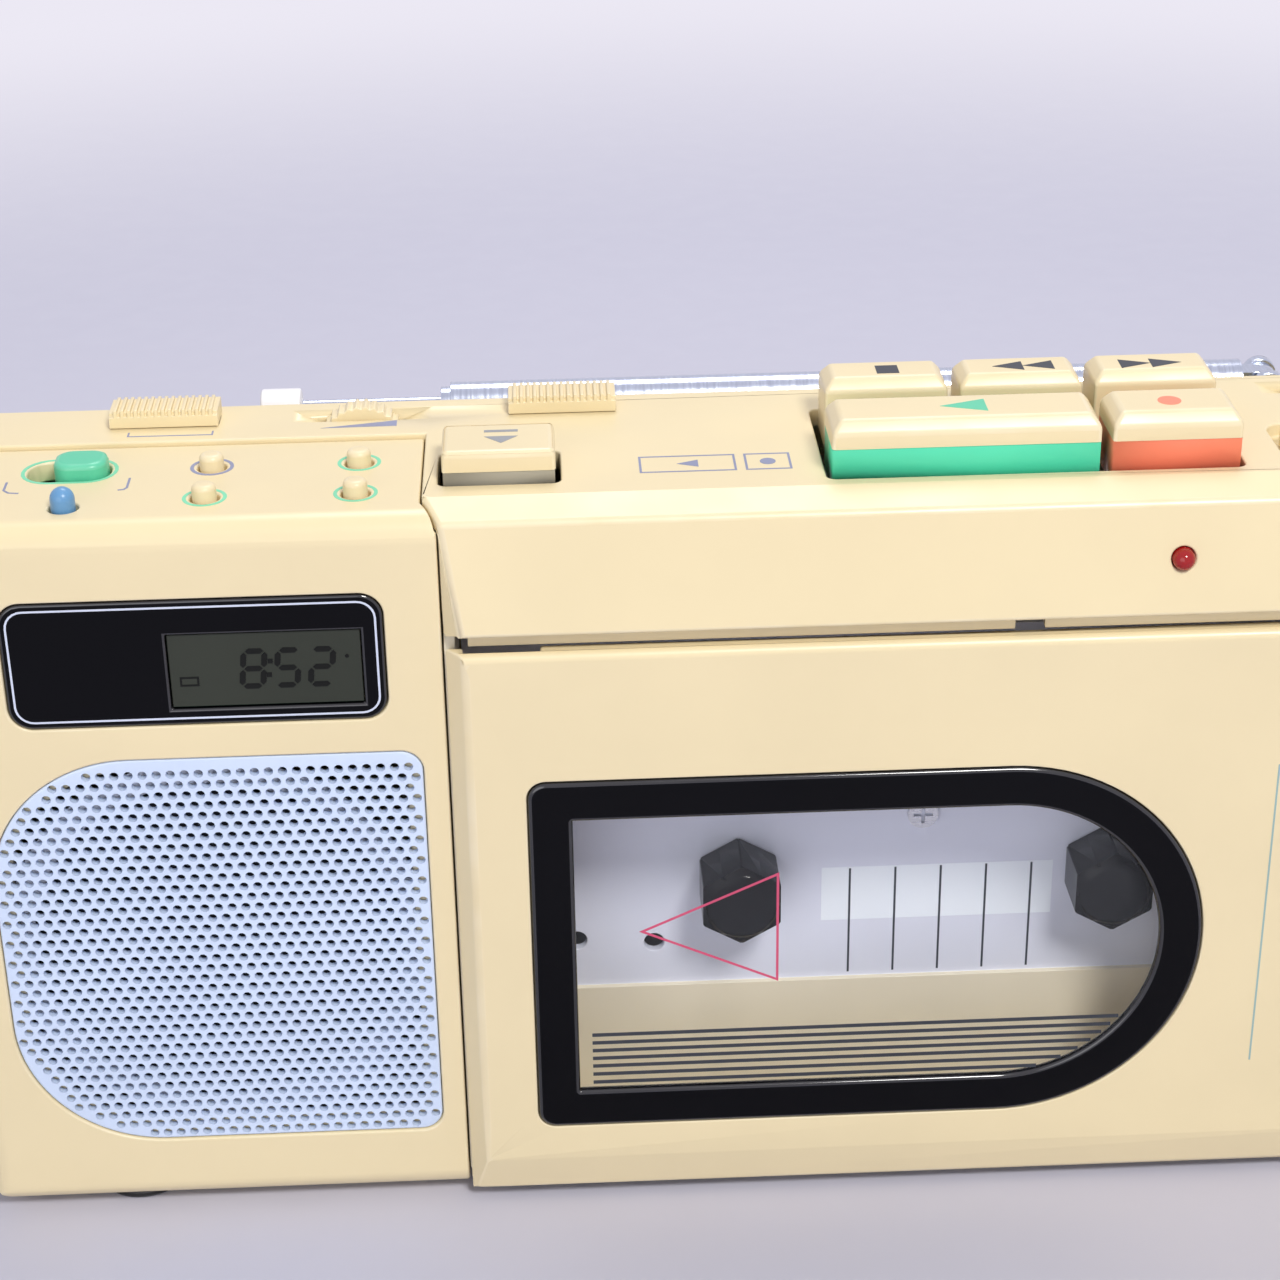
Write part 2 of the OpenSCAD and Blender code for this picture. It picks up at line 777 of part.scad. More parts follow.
module rear_cabinet() {
  y_step = y_ledge - wall - seam;
  x_in = half_w - wall;
  post_r = 2;
  bracket_half = 1.5;
  prop_w = 3;
  prop_half = 2;
  prop_in = 2;
  prop_x = x_tube + prop_in;
  color(cream) raise() difference() {
    union() {
      difference() {
        rear_block();
        block(-half_w - over, half_w + over, y_step, y_back + over, z_ledge, body_h + over);
        block(-half_w - over, half_w + over, y_strip - over, y_ledge, z_under - seam, body_h + over);
        along_y(y_strip - over, y_back - wall)
          rounded_from(-x_in, wall, 2 * x_in, z_ledge - 2 * wall, corner_r - wall);
        block(-x_in, x_in, y_strip - over, y_step, z_ledge / 2, body_h + over);
      }
      for (s = [-1, 1], z = screw_z) rod_y(s * screw_x, z, y_strip, y_back - wall + over, boss_r);
      for (x = board_post_x, z = board_post_z) rod_y(x, z, y_main + board_t, y_back - wall + over, post_r);
      for (x = ferrite_x)
        block(x - bracket_half, x + bracket_half, y_ferrite - over, y_back - wall + over,
              z_ferrite - ferrite_r - 2, z_ledge - wall + over / 2);
      block(prop_x, prop_x + prop_w, y_aerial - prop_half, y_aerial + prop_half, z_ledge - over,
            z_aerial - aerial_r - slip);
    }
    for (s = [-1, 1], z = screw_z) {
      rod_y(s * screw_x, z, y_strip - over, y_back + over, screw_r + seat);
      rod_y(s * screw_x, z, y_back - screw_sunk - screw_head_t - seat, y_back + over, screw_head_r + slip);
    }
    for (x = ferrite_x)
      rod_x(y_ferrite, z_ferrite, x - bracket_half - over, x + bracket_half + over, ferrite_r + seat);
    along_y(y_back - wall - over, y_back + over)
      rounded_from(-battery_w / 2, battery_z, battery_w, battery_h, cover_r);
    both_sides()
      rod_x(y_cover, z_cover, battery_w / 2 - over, battery_w / 2 + cover_pin_l + slip,
            cover_pin_r + run_fit);
    rod_z(aerial_x, y_aerial, z_ledge - wall - over, z_ledge + over, swivel_r + run_fit);
    for (z = jack_z) rod_x(jack_y, z, half_w - wall - over, half_w + over, jack_r + seat);
  }
}

// The cover turns on two pins at its rounded lower edge
module battery_door() {
  half = battery_w / 2 - slip;
  z_top = battery_z + battery_h - slip;
  groove = 0.8;
  groove_half = 9;
  groove_d = 0.5;
  first = 4.2;
  color(cream) raise() {
    difference() {
      union() {
        block(-half, half, y_back - 2 * cover_r, y_back, z_cover, z_top);
        rod_x(y_cover, z_cover, -half, half, cover_r);
      }
      for (i = [1:4]) translate([0, 0, z_top - first - 2 * i * groove])
        block(-groove_half, groove_half, y_back - groove_d, y_back + over, groove, 2 * groove);
    }
    both_sides() rod_x(y_cover, z_cover, half - over, battery_w / 2 + cover_pin_l, cover_pin_r);
  }
}

module battery_box() {
  color(grey) raise() difference() {
    block(-battery_w / 2 - box_t, battery_w / 2 + box_t, y_cells - box_t, y_back - wall,
          battery_z - box_t, battery_z + battery_h + box_t);
    block(-battery_w / 2, battery_w / 2, y_cells, y_back, battery_z, battery_z + battery_h);
  }
}

module feet() {
  side = 17;
  front = 7;
  back = 9;
  color(black) for (x = [-half_w + side, half_w - side], y = [y_mod + front, y_back - back])
    rod_z(x, y, 0, foot_h, foot_r);
}

module cabinet_screws() {
  y_head_seat = y_back - screw_sunk - screw_head_t;
  color(steel) raise() for (s = [-1, 1], z = screw_z) {
    rod_y(s * screw_x, z, y_head_seat, y_back - screw_sunk, screw_head_r);
    rod_y(s * screw_x, z, y_part - screw_grip, y_head_seat, screw_r);
  }
}

module speaker_grille() {
  color([0.92, 0.93, 0.96]) raise() translate([grille_x, 0, grille_mid_z])
    along_y(y_mod + grille_front, y_mod + grille_front + grille_t)
      plate(grille_w - 2 * seat, grille_h - 2 * seat, grille_r - seat, grille_small_r - seat);
}

module speaker_basket() {
  y = y_wall + seat;
  y_mid = y + speaker_d / 2;
  sheet = 1.2;
  core = 4;
  neck_r = magnet_r + 1;
  y_neck = y_mid + sheet / 2;
  y_plate = y_mid - sheet / 3;
  color(steel) raise() turn_y(grille_x, grille_mid_z)
    polygon([[speaker_r - speaker_rim, y], [speaker_r, y], [speaker_r, y + sheet], [speaker_r - 2, y + sheet],
             [neck_r, y_mid - sheet / 2], [neck_r, y_neck], [magnet_r, y_neck], [magnet_r, y + speaker_d],
             [core, y + speaker_d], [core, y_plate], [magnet_r - 1.5, y_plate],
             [speaker_r - speaker_rim - slip, y + sheet + seat]]);
}

module speaker_cone() {
  y = y_wall + 2 * seat;
  rim = speaker_r - speaker_rim - 2 * slip;
  floor_y = y + speaker_d / 2 - 1.2;
  paper = 0.6;
  cap_r = 6;
  cap_h = 1.4;
  color(black) raise() turn_y(grille_x, grille_mid_z)
    polygon([[rim, y], [rim, y + paper], [cap_r, floor_y], [0, floor_y - cap_h], [0, floor_y - cap_h - paper],
             [cap_r, floor_y - paper]]);
}

module display_panel() {
  color(black) raise() translate([panel_x, 0, panel_mid_z]) along_y(y_mod, y_mod + panel_t) difference() {
    rounded(panel_w - 2 * seat, panel_h - 2 * seat, panel_r - seat);
    translate([lcd_right, -lcd_down]) square([lcd_w, lcd_h], center = true);
  }
}

module lcd_glass() {
  color([0.27, 0.28, 0.25]) raise()
    block(lcd_x - lcd_w / 2 + seat, lcd_x + lcd_w / 2 - seat, y_mod + lcd_sunk, y_wall + lcd_back,
          lcd_z - lcd_h / 2 + seat, lcd_z + lcd_h / 2 - seat);
}

// A round button with a collar that keeps it under the keyboard
module round_button(x, y, dome) {
  collar = 0.8;
  collar_out = 0.9;
  z = z_clock_under - slip;
  rod_z(x, y, z_clock_under - button_tail, z_clock + button_h - dome, button_r);
  rod_z(x, y, z - collar, z, button_r + collar_out);
  if (dome > 0) translate([x, y, z_clock + button_h - dome]) sphere(button_r);
}

module clock_button() {
  color(cream) raise() round_button(column_x[0], row_y[0], 0);
}

module alarm_button() {
  color(cream) raise() round_button(column_x[0], row_y[1], 0);
}

module hour_button() {
  color(cream) raise() round_button(column_x[1], row_y[0], 0);
}

module minute_button() {
  color(cream) raise() round_button(column_x[1], row_y[1], 0);
}

module sleep_button() {
  dome = 0.6;
  color(blue) raise() round_button(sleep_x, sleep_y, dome);
}

module timer_switch() {
  foot = 1;
  flat = 1;
  color(green) raise() translate([timer_x, timer_y, 0]) {
    along_z(z_clock_under - slip - foot, z_clock + button_h) rounded(timer_l, timer_w, (timer_w - flat) / 2);
    along_z(z_clock_under - slip - foot, z_clock_under - slip)
      rounded(timer_l + 2 * timer_travel, timer_w + 2 * foot, foot);
  }
}

// A ridged cap on a neck through its slot, with a foot that hooks under the front of the plate
module ridged_slide(x, y, z, z_foot, l, d, h, back = 0) {
  ridges = 15;
  ridge = l / (2 * ridges + 2);
  ridge_drop = 0.8;
  lip_back = 0.3;
  base = z + seat;
  z1 = z_foot - slip;
  z0 = z1 - 1;
  y0 = y - d / 2 + back;
  block(x - l / 2, x + l / 2, y0, y0 + d, base, base + h - ridge_drop);
  block(x - l / 2, x + l / 2, y0 + ridge, y0 + d, base, base + h - ridge);
  for (i = [0:ridges - 1]) block(x - l / 2 + (2 * i + 1.5) * ridge, x - l / 2 + (2 * i + 2.5) * ridge,
                                 y0, y0 + d - lip_back, base, base + h);
  block(x - neck_l / 2, x + neck_l / 2, y - neck_w / 2, y + neck_w / 2, z0, base + over / 2);
  block(x - neck_l, x + neck_l, y - neck_w, y + neck_w / 2, z0, z1);
}

module function_switch() {
  color(cream) raise() ridged_slide(function_x, function_y, body_h, z_under, slide_l, slide_d, slide_h);
}

module tape_switch() {
  color(cream) raise()
    ridged_slide(tape_x, tape_y, body_h, z_under, slide_l, slide_d, slide_h, tape_back);
}

module band_switch() {
  color(cream) raise() ridged_slide(x_band_slide, y_band_slide, body_h - band_drop, z_under - band_drop,
                                    band_slide_l, slide_d, slide_h);
}

// A ridged wheel on its axle
module thumb_wheel(x) {
  ridges = 30;
  ridge_d = 0.4;
  points = [for (i = [0:2 * ridges - 1]) let(a = 180 * i / ridges, r = wheel_r - (i % 2) * ridge_d)
              [r * cos(a), r * sin(a)]];
  translate([x, 0, z_wheel]) along_y(y_wheel, y_wheel + wheel_t - slip / 2) polygon(points);
  rod_y(x, z_wheel, y_wheel - slip - lug_t, y_ledge - wall / 2, axle_r);
}

module volume_wheel() {
  color(cream) raise() thumb_wheel(volume_x);
}

module tuning_wheel() {
  color(cream) raise() thumb_wheel(tuning_x);
}

module battery_lamp() {
  y = y_brow + lamp_up * brow_lean / (z_brow - brow_z);
  color([0.74, 0.15, 0.11]) raise() {
    rod_y(lamp_x, lamp_z, y, y_wall, lamp_r);
    translate([lamp_x, y, lamp_z]) sphere(lamp_r);
  }
}

// One upright side of the deck chassis, cut back where the door's foot swings
module chassis_side() {
  y_face = y_skin + 0.7;
  y_post = y_brow + wall + over;
  z_foot = hinge_z - 1.5;
  z_top = z_lintel + lintel_h;
  difference() {
    along_x(-x_side, -x_inside)
      polygon([[y_sill, 0], [y_part - seam, 0], [y_part - seam, z_sill], [y_deck_back, 3 * z_sill],
               [y_deck_back, z_top], [y_post, z_top], [y_post, z_lintel], [y_face, door_top],
               [y_face, z_foot], [y_sill, z_foot]]);
    rod_x(y_hinge, hinge_z, -x_side - over, -x_inside + over, hinge_r + run_fit);
  }
}

module deck_chassis() {
  y_lintel = y_brow + wall + over;
  color(cream) raise() {
    chassis_side();
    mirror([1, 0, 0]) chassis_side();
    block(-x_side, x_side, y_sill, y_part - seam, 0, z_sill);
    block(-x_side, x_side, y_lintel, y_lintel + chassis_t, z_lintel, z_lintel + lintel_h);
  }
}

module hinge_pins() {
  color(steel) raise() both_sides() rod_x(y_hinge, hinge_z, x_pocket + seat, x_side, hinge_r);
}

// The window's outline, round on the right
module window_outline(inset) {
  small_r = max(window_small_r - inset, window_flat);
  translate([-window_x + window_w / 2, window_mid_z])
    plate(window_w - 2 * inset, window_h - 2 * inset, small_r, window_r - inset);
}

module cassette_door() {
  x_door = x_side - seam;
  toe = 0.5;
  spare = 2 * door_r;
  notch = [1.8, 9.9];
  notch_h = 0.8;
  color(cream) raise() difference() {
    intersection() {
      along_x(-x_door, x_door) intersection() {
        polygon([[y_door, door_low + door_bevel], [y_door, door_top], [y_skin, door_top],
                 [y_skin, door_low], [y_skin - toe, door_low]]);
        rounded_from(y_door, door_low - spare, door_t + spare, door_top - door_low + spare, door_r);
      }
      along_z(door_low, door_top)
        polygon([[-x_door + side_chamfer, y_door], [x_door - side_chamfer, y_door], [x_door, y_skin],
                 [-x_door, y_skin]]);
    }
    block(-x_door + notch[0], -x_door + notch[1], y_door + door_r, y_skin + over, door_top - notch_h,
          door_top + over);
    along_y(y_door - over, y_door + rim_t + seat) window_outline(-seat);
    along_y(y_door, y_skin + over) window_outline(rim_rest);
  }
}

module window_rim() {
  color(black) raise() along_y(y_rim, y_door + rim_t) difference() {
    window_outline(0);
    window_outline(rim_w);
  }
}

module window_lens() {
  color([0.9, 0.92, 0.95, 0.3]) raise() {
    along_y(y_door + lens_sunk, y_door + rim_t + over / 2) window_outline(rim_w + seat);
    along_y(y_door + rim_t + seat, y_skin - seat) window_outline(rim_rest + seat);
  }
}

module cassette_holder() {
  y_end = y_deck - over;
  ear_top = 40;
  shelf_t = 1.2;
  ear_under = 2;
  color(cream) raise() difference() {
    union() {
      block(-x_ear, x_ear, y_skin + seat, y_end, shelf_z - shelf_t, shelf_z);
      both_sides() block(x_pocket, x_ear, y_skin + seat, y_end, hinge_z - ear_under, ear_top);
    }
    both_sides() rod_x(y_hinge, hinge_z, x_pocket - over, x_ear + over, hinge_r + run_fit);
  }
}

module deck_plate() {
  peg_holes = [[-40, 26], [-31, 25.4], [36, 26]];
  peg_r = 1.2;
  color(pale) raise() difference() {
    union() {
      block(-x_inside + seam, x_inside - seam, y_deck, y_deck_back, z_sill + seat, head_top);
      block(-x_pocket, x_pocket, y_deck - apron_t, y_deck + apron_t, z_sill + seat, apron_top);
    }
    for (x = [-reel_x, reel_x]) rod_y(x, reel_z, y_deck - over, y_deck_back + over, spindle_r + run_fit);
    rod_y(-capstan_x, capstan_z, y_deck - over, y_deck_back + over, capstan_r + run_fit);
    for (p = peg_holes) rod_y(p[0], p[1], y_deck - over, y_deck_back + over, peg_r);
  }
}

// A reel spindle with a six-sided hub and its disc behind the deck plate
module spindle(x) {
  nose = 0.7;
  nose_r = 0.7 * hub_r;
  flat_r = hub_r * cos(30);
  y_front = y_deck - slip;
  y_tip = y_deck - hub_l;
  color(black) raise() {
    turn_y(x, reel_z)
      polygon([[0, y_reel + reel_disc_t], [reel_disc_r, y_reel + reel_disc_t], [reel_disc_r, y_reel],
               [spindle_r, y_reel], [spindle_r, y_front], [flat_r, y_front], [flat_r, y_tip + nose],
               [nose_r, y_tip], [0, y_tip]]);
    translate([x, 0, reel_z]) along_y(y_tip + nose, y_front)
      polygon([for (i = [0:5]) hub_r * [cos(60 * i + 30), sin(60 * i + 30)]]);
  }
}

module supply_spindle() {
  spindle(-reel_x);
}

module takeup_spindle() {
  spindle(reel_x);
}

module flywheel() {
  groove_r = flywheel_r - belt_t - slip - belt_sunk;
  y0 = y_fly;
  y1 = y_fly + flywheel_t;
  mid = (y0 + y1) / 2;
  y_end = y_bracket + over;
  y_tip = y_deck - hub_l;
  color([0.72, 0.62, 0.40]) raise() turn_y(-capstan_x, capstan_z)
    polygon([[0, y_end], [capstan_r, y_end], [capstan_r, y1], [flywheel_r, y1], [flywheel_r, mid + belt_w],
             [groove_r, mid + belt_w], [groove_r, mid - belt_w], [flywheel_r, mid - belt_w], [flywheel_r, y0],
             [capstan_r, y0], [capstan_r, y_tip], [0, y_tip]]);
}

module motor_pulley() {
  mid = y_fly + flywheel_t / 2;
  flange_r = pulley_r + 1.5;
  half = belt_w + 0.6;
  y_end = y_motor + shaft_in;
  color([0.72, 0.62, 0.40]) raise() turn_y(motor_x, motor_z)
    polygon([[0, mid - half], [flange_r, mid - half], [flange_r, mid - belt_w], [pulley_r, mid - belt_w],
             [pulley_r, mid + belt_w], [flange_r, mid + belt_w], [flange_r, mid + half],
             [shaft_r, mid + half], [shaft_r, y_end], [0, y_end]]);
}

// The belt's inner or outer line round both pulleys
module belt_line(grow) {
  facets = 32;
  hull() {
    translate([-capstan_x, capstan_z]) circle(flywheel_r - belt_t - belt_sunk + grow, $fn = facets);
    translate([motor_x, motor_z]) circle(pulley_r + slip + grow, $fn = facets);
  }
}

module drive_belt() {
  mid = y_fly + flywheel_t / 2;
  color(black) raise() along_y(mid - belt_w + slip, mid + belt_w - slip) difference() {
    belt_line(belt_t - seat);
    belt_line(0);
  }
}

module drive_bracket() {
  left = -x_inside + over;
  right = motor_x + motor_r + post_in;
  post_r = 2;
  posts = [for (x = [left + post_in, right - post_in], z = [bracket_z + post_in, head_top - post_in]) [x, z]];
  color(steel) raise() difference() {
    union() {
      block(left, right, y_bracket, y_motor, bracket_z, head_top);
      for (p = posts) rod_y(p[0], p[1], y_deck_back, y_bracket + over / 2, post_r);
      rod_y(0, bracket_z + post_in, y_deck_back, y_bracket + over / 2, post_r);
    }
    rod_y(-capstan_x, capstan_z, y_bracket - over, y_motor + over, capstan_r + run_fit);
    rod_y(motor_x, motor_z, y_bracket - over, y_motor + over, shaft_r + slip);
  }
}

module motor() {
  color(steel) raise() difference() {
    rod_y(motor_x, motor_z, y_motor, y_motor + motor_l, motor_r);
    rod_y(motor_x, motor_z, y_motor - over, y_motor + shaft_in + over, shaft_r + run_fit);
  }
}

module head_bridge() {
  arm_half = 4;
  arm_over = 2.5;
  notch_half = 2;
  notch_top = capstan_z + head_travel + capstan_r + 0.8;
  color(steel) raise() {
    difference() {
      union() {
        block(-capstan_x - bridge_side, bridge_right, y_head, y_head + head_t, head_low, head_top);
        block(-capstan_x - arm_half, -capstan_x + arm_half, y_head, y_head + head_t, head_top - over,
              pinch_z + arm_over);
      }
      block(-capstan_x - notch_half, -capstan_x + notch_half, y_head - over, y_head + head_t + over,
            head_low - over, notch_top);
    }
    rod_y(-capstan_x, pinch_z, y_head - head_d, y_head + over / 2, axle_r);
  }
}

// The recording head in the middle and the erase head beside it
module tape_heads() {
  places = [[0, 6], [15, 3.4]];
  height = 3.8;
  color(grey) raise() for (h = places)
    block(h[0] - h[1], h[0] + h[1], y_head - head_d, y_head, head_top - height, head_top);
}

module pinch_roller() {
  bore = axle_r + run_fit;
  y0 = y_head - head_d;
  y1 = y_head - seam;
  color(black) raise() turn_y(-capstan_x, pinch_z)
    polygon([[bore, y0], [pinch_r, y0], [pinch_r, y1], [bore, y1]]);
}

// Outline of a key with chamfered upper corners
module chamfered(x0, x1, z0, z1, c) {
  t = 0.8 * c;
  polygon([[x0, z0], [x1, z0], [x1, z1 - c], [x1 - t, z1], [x0 + t, z1], [x0, z1 - c]]);
}

module key_cap(x, y, w, d, z0, z1, c = key_chamfer) {
  intersection() {
    along_y(y, y + d) chamfered(x, x + w, z0, z1, c);
    along_x(x, x + w) chamfered(y, y + d, z0, z1, c);
  }
}

// Guided stem under the middle of a key
module key_stem(x, y) {
  block(x - stem_w / 2, x + stem_w / 2, y - stem_w / 2, y + stem_w / 2, z_stem, key_low + over / 2);
}

function rear_key_x(i) = x_well + rear_in + i * (rear_key_w + rear_gap);

module rear_key(i) {
  y = y_well + well_d - key_gap - rear_key_d;
  color(cream) raise() {
    key_cap(rear_key_x(i), y, rear_key_w, rear_key_d, key_low, key_top);
    key_stem(rear_key_x(i) + rear_key_w / 2, y + rear_key_d / 2);
  }
}

module stop_key() {
  rear_key(0);
}

module rewind_key() {
  rear_key(1);
}

module forward_key() {
  rear_key(2);
}

// A front key is a cream cap on a coloured base that is a little smaller all round
module front_key(x, w, base_colour) {
  y = y_well + key_gap;
  raise() {
    color(cream) key_cap(x, y, w, front_key_d, body_h + key_band, key_top);
    color(base_colour) {
      block(x + skirt_in, x + w - skirt_in, y + skirt_in, y + front_key_d - skirt_in, key_low,
            body_h + key_band + over / 2);
      key_stem(x + w / 2, y + front_key_d / 2);
    }
  }
}

module play_key() {
  front_key(x_well + key_gap, play_w, green);
}

module record_key() {
  front_key(record_x, record_w, coral);
}

// The eject key reaches down beside the chassis
module eject_key() {
  x = -x_inside + slip;
  x0 = x_eject - eject_w / 2;
  tongue = 2.5;
  z_tongue = head_low + 4;
  raise() {
    color(cream)
      key_cap(x0, y_eject, eject_w, eject_d, body_h + eject_band, body_h + eject_h, eject_chamfer);
    color(grey) {
      block(x0 + skirt_in, x0 + eject_w - skirt_in, y_eject + skirt_in, y_eject + eject_d - skirt_in, key_low,
            body_h + eject_band + over / 2);
      block(x, x + tongue, y_eject + over, y_eject + over + tongue, z_tongue, key_low + over / 2);
    }
  }
}

module key_plate() {
  hole = stem_w + 2 * slip;
  side = 3.6;
  leg_w = 2.8;
  leg_d = 3;
  x0 = x_well - side;
  x1 = x_well + well_w + side;
  y_front = y_well + key_gap + front_key_d / 2;
  y_rear = y_well + well_d - key_gap - rear_key_d / 2;
  front_x = [x_well + key_gap + play_w / 2, record_x + record_w / 2];
  color(steel) raise() {
    difference() {
      block(x0, x1, y_well - over / 2, y_well + well_d + over / 2, z_key_plate, z_key_plate + key_plate_t);
      for (x = front_x) translate([x, y_front, z_key_plate]) cube(hole, center = true);
      for (i = [0:2])
        translate([rear_key_x(i) + rear_key_w / 2, y_rear, z_key_plate]) cube(hole, center = true);
    }
    for (x = [x0, x1 - leg_w], y = [y_well, y_well + well_d - leg_d])
      block(x, x + leg_w, y, y + leg_d, z_key_plate + key_plate_t / 2, z_under);
  }
}

module dial_window() {
  color([0.9, 0.92, 0.95, 0.3]) raise() translate([dial_x, 0, dial_mid_z]) along_y(y_mod, y_mod + dial_t)
    rounded(dial_w - 2 * seat, dial_h - 2 * seat, dial_r - seat);
}

module dial_scale() {
  slot_w = pointer_w + 2 * slip;
  slot_h = pointer_travel + pointer_h + 2 * over;
  color(black) raise() translate([dial_x, 0, dial_mid_z])
    along_y(y_scale, y_scale + scale_t) difference() {
      rounded(dial_w - 2 * seat, dial_h - 2 * seat, dial_r);
      translate([x_pointer - dial_x, 0]) square([slot_w, slot_h], center = true);
    }
}

module dial_pointer() {
  reach = dial_w / 2 - lens_in - 1.2;
  y0 = y_mod + dial_t + slip;
  y2 = y_scale + scale_t + seam;
  half = pointer_w / 2;
  slider_half = 2;
  slider_t = 1.6;
  slider_h = 6;
  color(coral) raise() translate([0, 0, dial_mid_z]) {
    block(dial_x - reach, dial_x + reach, y0, y_scale - seam, -pointer_h / 2, pointer_h / 2);
    block(x_pointer - half, x_pointer + half, y0, y2 + over, -pointer_h / 2, pointer_h / 2);
    block(x_pointer - slider_half, x_pointer + slider_half, y2, y2 + slider_t, -slider_h / 2, slider_h / 2);
  }
}

// The tuner board, the board under the clock keyboard and the board behind the display
module circuit_boards() {
  y_clock = y_wall + lcd_back + seat;
  x_inner = -half_c - wall - over;
  color(board_green) raise() {
    block(x_main, x_main + main_w, y_main, y_main + board_t, main_z, main_z + main_h);
    block(-half_w + wall + over, x_inner, y_wall + over, y_part - over, z_board - board_t, z_board);
    block(-screw_x + boss_r + over, x_inner, y_clock, y_clock + board_t,
          grille_mid_z + speaker_r + over, z_board - board_t - seat);
  }
}

// Tuning capacitor, coils and round capacitors on the tuner board
module board_parts() {
  gang = [20, 9, 20];
  gang_at = [9, 38];
  coil = [7, 8, 7];
  coil_at = [6, 24];
  can_l = 7;
  can_r = [2.5, 3];
  can_at = [7, 12];
  color(grey) raise() translate([x_main, y_main, main_z]) {
    translate([gang_at[0], -gang[1], gang_at[1]]) cube(gang);
    for (i = [0:2]) translate([coil_at[0] + i * main_w / 4, -coil[1], coil_at[1]]) cube(coil);
    for (i = [0:3]) rod_y(can_at[0] + i * main_w / 5, can_at[1], -can_l, 0, can_r[i % 2]);
  }
}

module ferrite_bar() {
  color([0.25, 0.22, 0.20]) raise() rod_x(y_ferrite, z_ferrite, -ferrite_l / 2, ferrite_l / 2, ferrite_r);
}

module side_jacks() {
  bore = 1.8;
  inlet = 2.8;
  pin = 0.7;
  floor_t = 1.5;
  color(black) raise() {
    difference() {
      for (z = jack_z) rod_x(jack_y, z, half_w - jack_l, half_w - seat, jack_r);
      for (i = [1, 2]) rod_x(jack_y, jack_z[i], half_w - jack_l + floor_t, half_w + over, bore);
      rod_x(jack_y, jack_z[0], half_w - jack_l + floor_t, half_w + over, inlet);
    }
    rod_x(jack_y, jack_z[0], half_w - jack_l + over, half_w - floor_t, pin);
  }
}

// The aerial's swivel with its two ears and the pin between them
module aerial_base() {
  foot_t = 1.2;
  swivel_foot_r = 4.2;
  ear_w = 1.4;
  color(steel) raise() {
    rod_z(aerial_x, y_aerial, z_ledge + seat, z_ledge + foot_t, swivel_foot_r);
    rod_z(aerial_x, y_aerial, z_ledge - wall + seam, z_ledge + foot_t / 2, swivel_r);
    for (s = [-1, 1]) {
      y0 = y_aerial + s * (ear_gap + ear_w / 2) - ear_w / 2;
      rod_y(aerial_x, z_aerial, y0, y0 + ear_w, eye_r);
      block(aerial_x - eye_r, aerial_x + eye_r, y0, y0 + ear_w, z_ledge + foot_t / 2, z_aerial);
    }
    rod_y(aerial_x, z_aerial, y_aerial - ear_gap - ear_w / 2, y_aerial + ear_gap + ear_w / 2, pivot_r);
  }
}

// Outer tube with its flat eye between the ears
module aerial_tube() {
  x_start = aerial_x - eye_r - over;
  plug = 3;
  flat = ear_gap - seam;
  flat_half = 1.5;
  color(steel) raise() difference() {
    union() {
      rod_x(y_aerial, z_aerial, x_tube, x_start, aerial_r);
      rod_y(aerial_x, z_aerial, y_aerial - flat, y_aerial + flat, eye_r - slip);
      block(x_start - over, aerial_x, y_aerial - flat, y_aerial + flat,
            z_aerial - flat_half, z_aerial + flat_half);
    }
    rod_x(y_aerial, z_aerial, x_tube - over, x_start - plug, aerial_r - aerial_wall);
    rod_y(aerial_x, z_aerial, y_aerial - 2 * ear_gap, y_aerial + 2 * ear_gap, pivot_r + run_fit);
  }
}

// Middle section, with a narrow mouth that keeps the rod's collar in
module aerial_middle() {
  outer = aerial_r - aerial_wall - run_fit;
  middle_in = 5;
  x_start = aerial_x - eye_r - middle_in;
  plug = 2;
  mouth = 2;
  color(steel) raise() difference() {
    rod_x(y_aerial, z_aerial, x_middle, x_start, outer);
    rod_x(y_aerial, z_aerial, x_middle + mouth, x_start - plug, outer - aerial_wall);
    rod_x(y_aerial, z_aerial, x_middle - over, x_middle + mouth + over, rod_r + run_fit);
  }
}

// Inner rod with its collar and its tip
module aerial_inner() {
  collar_r = aerial_r - 2 * aerial_wall - 2 * run_fit;
  collar_l = 4;
  rod_in = 8;
  x_start = aerial_x - eye_r - rod_in;
  color(steel) raise() {
    rod_x(y_aerial, z_aerial, x_tip + tip_l / 2, x_start, rod_r);
    rod_x(y_aerial, z_aerial, x_start - collar_l, x_start, collar_r);
    rod_x(y_aerial, z_aerial, x_tip, x_tip + tip_l, tip_r);
  }
}

left_module();
right_module();
top_deck();
rear_cabinet();
battery_door();
battery_box();
feet();
cabinet_screws();
speaker_grille();
speaker_basket();
speaker_cone();
display_panel();
lcd_glass();
circuit_boards();
board_parts();
clock_button();
alarm_button();
hour_button();
minute_button();
sleep_button();
timer_switch();
function_switch();
tape_switch();
band_switch();
volume_wheel();
tuning_wheel();
battery_lamp();
deck_chassis();
hinge_pins();
cassette_door();
window_rim();
window_lens();
cassette_holder();
deck_plate();
supply_spindle();
takeup_spindle();
flywheel();
motor_pulley();
drive_belt();
drive_bracket();
motor();
head_bridge();
tape_heads();
pinch_roller();
stop_key();
rewind_key();
forward_key();
play_key();
record_key();
eject_key();
key_plate();
dial_window();
dial_scale();
dial_pointer();
ferrite_bar();
side_jacks();
aerial_base();
aerial_tube();
aerial_middle();
aerial_inner();
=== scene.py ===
"""Dresses the radio cassette recorder: rounded mouldings, perforated grille, prints, materials and studio."""

import json
import math

import bmesh
import bpy
from mathutils import Matrix, Vector

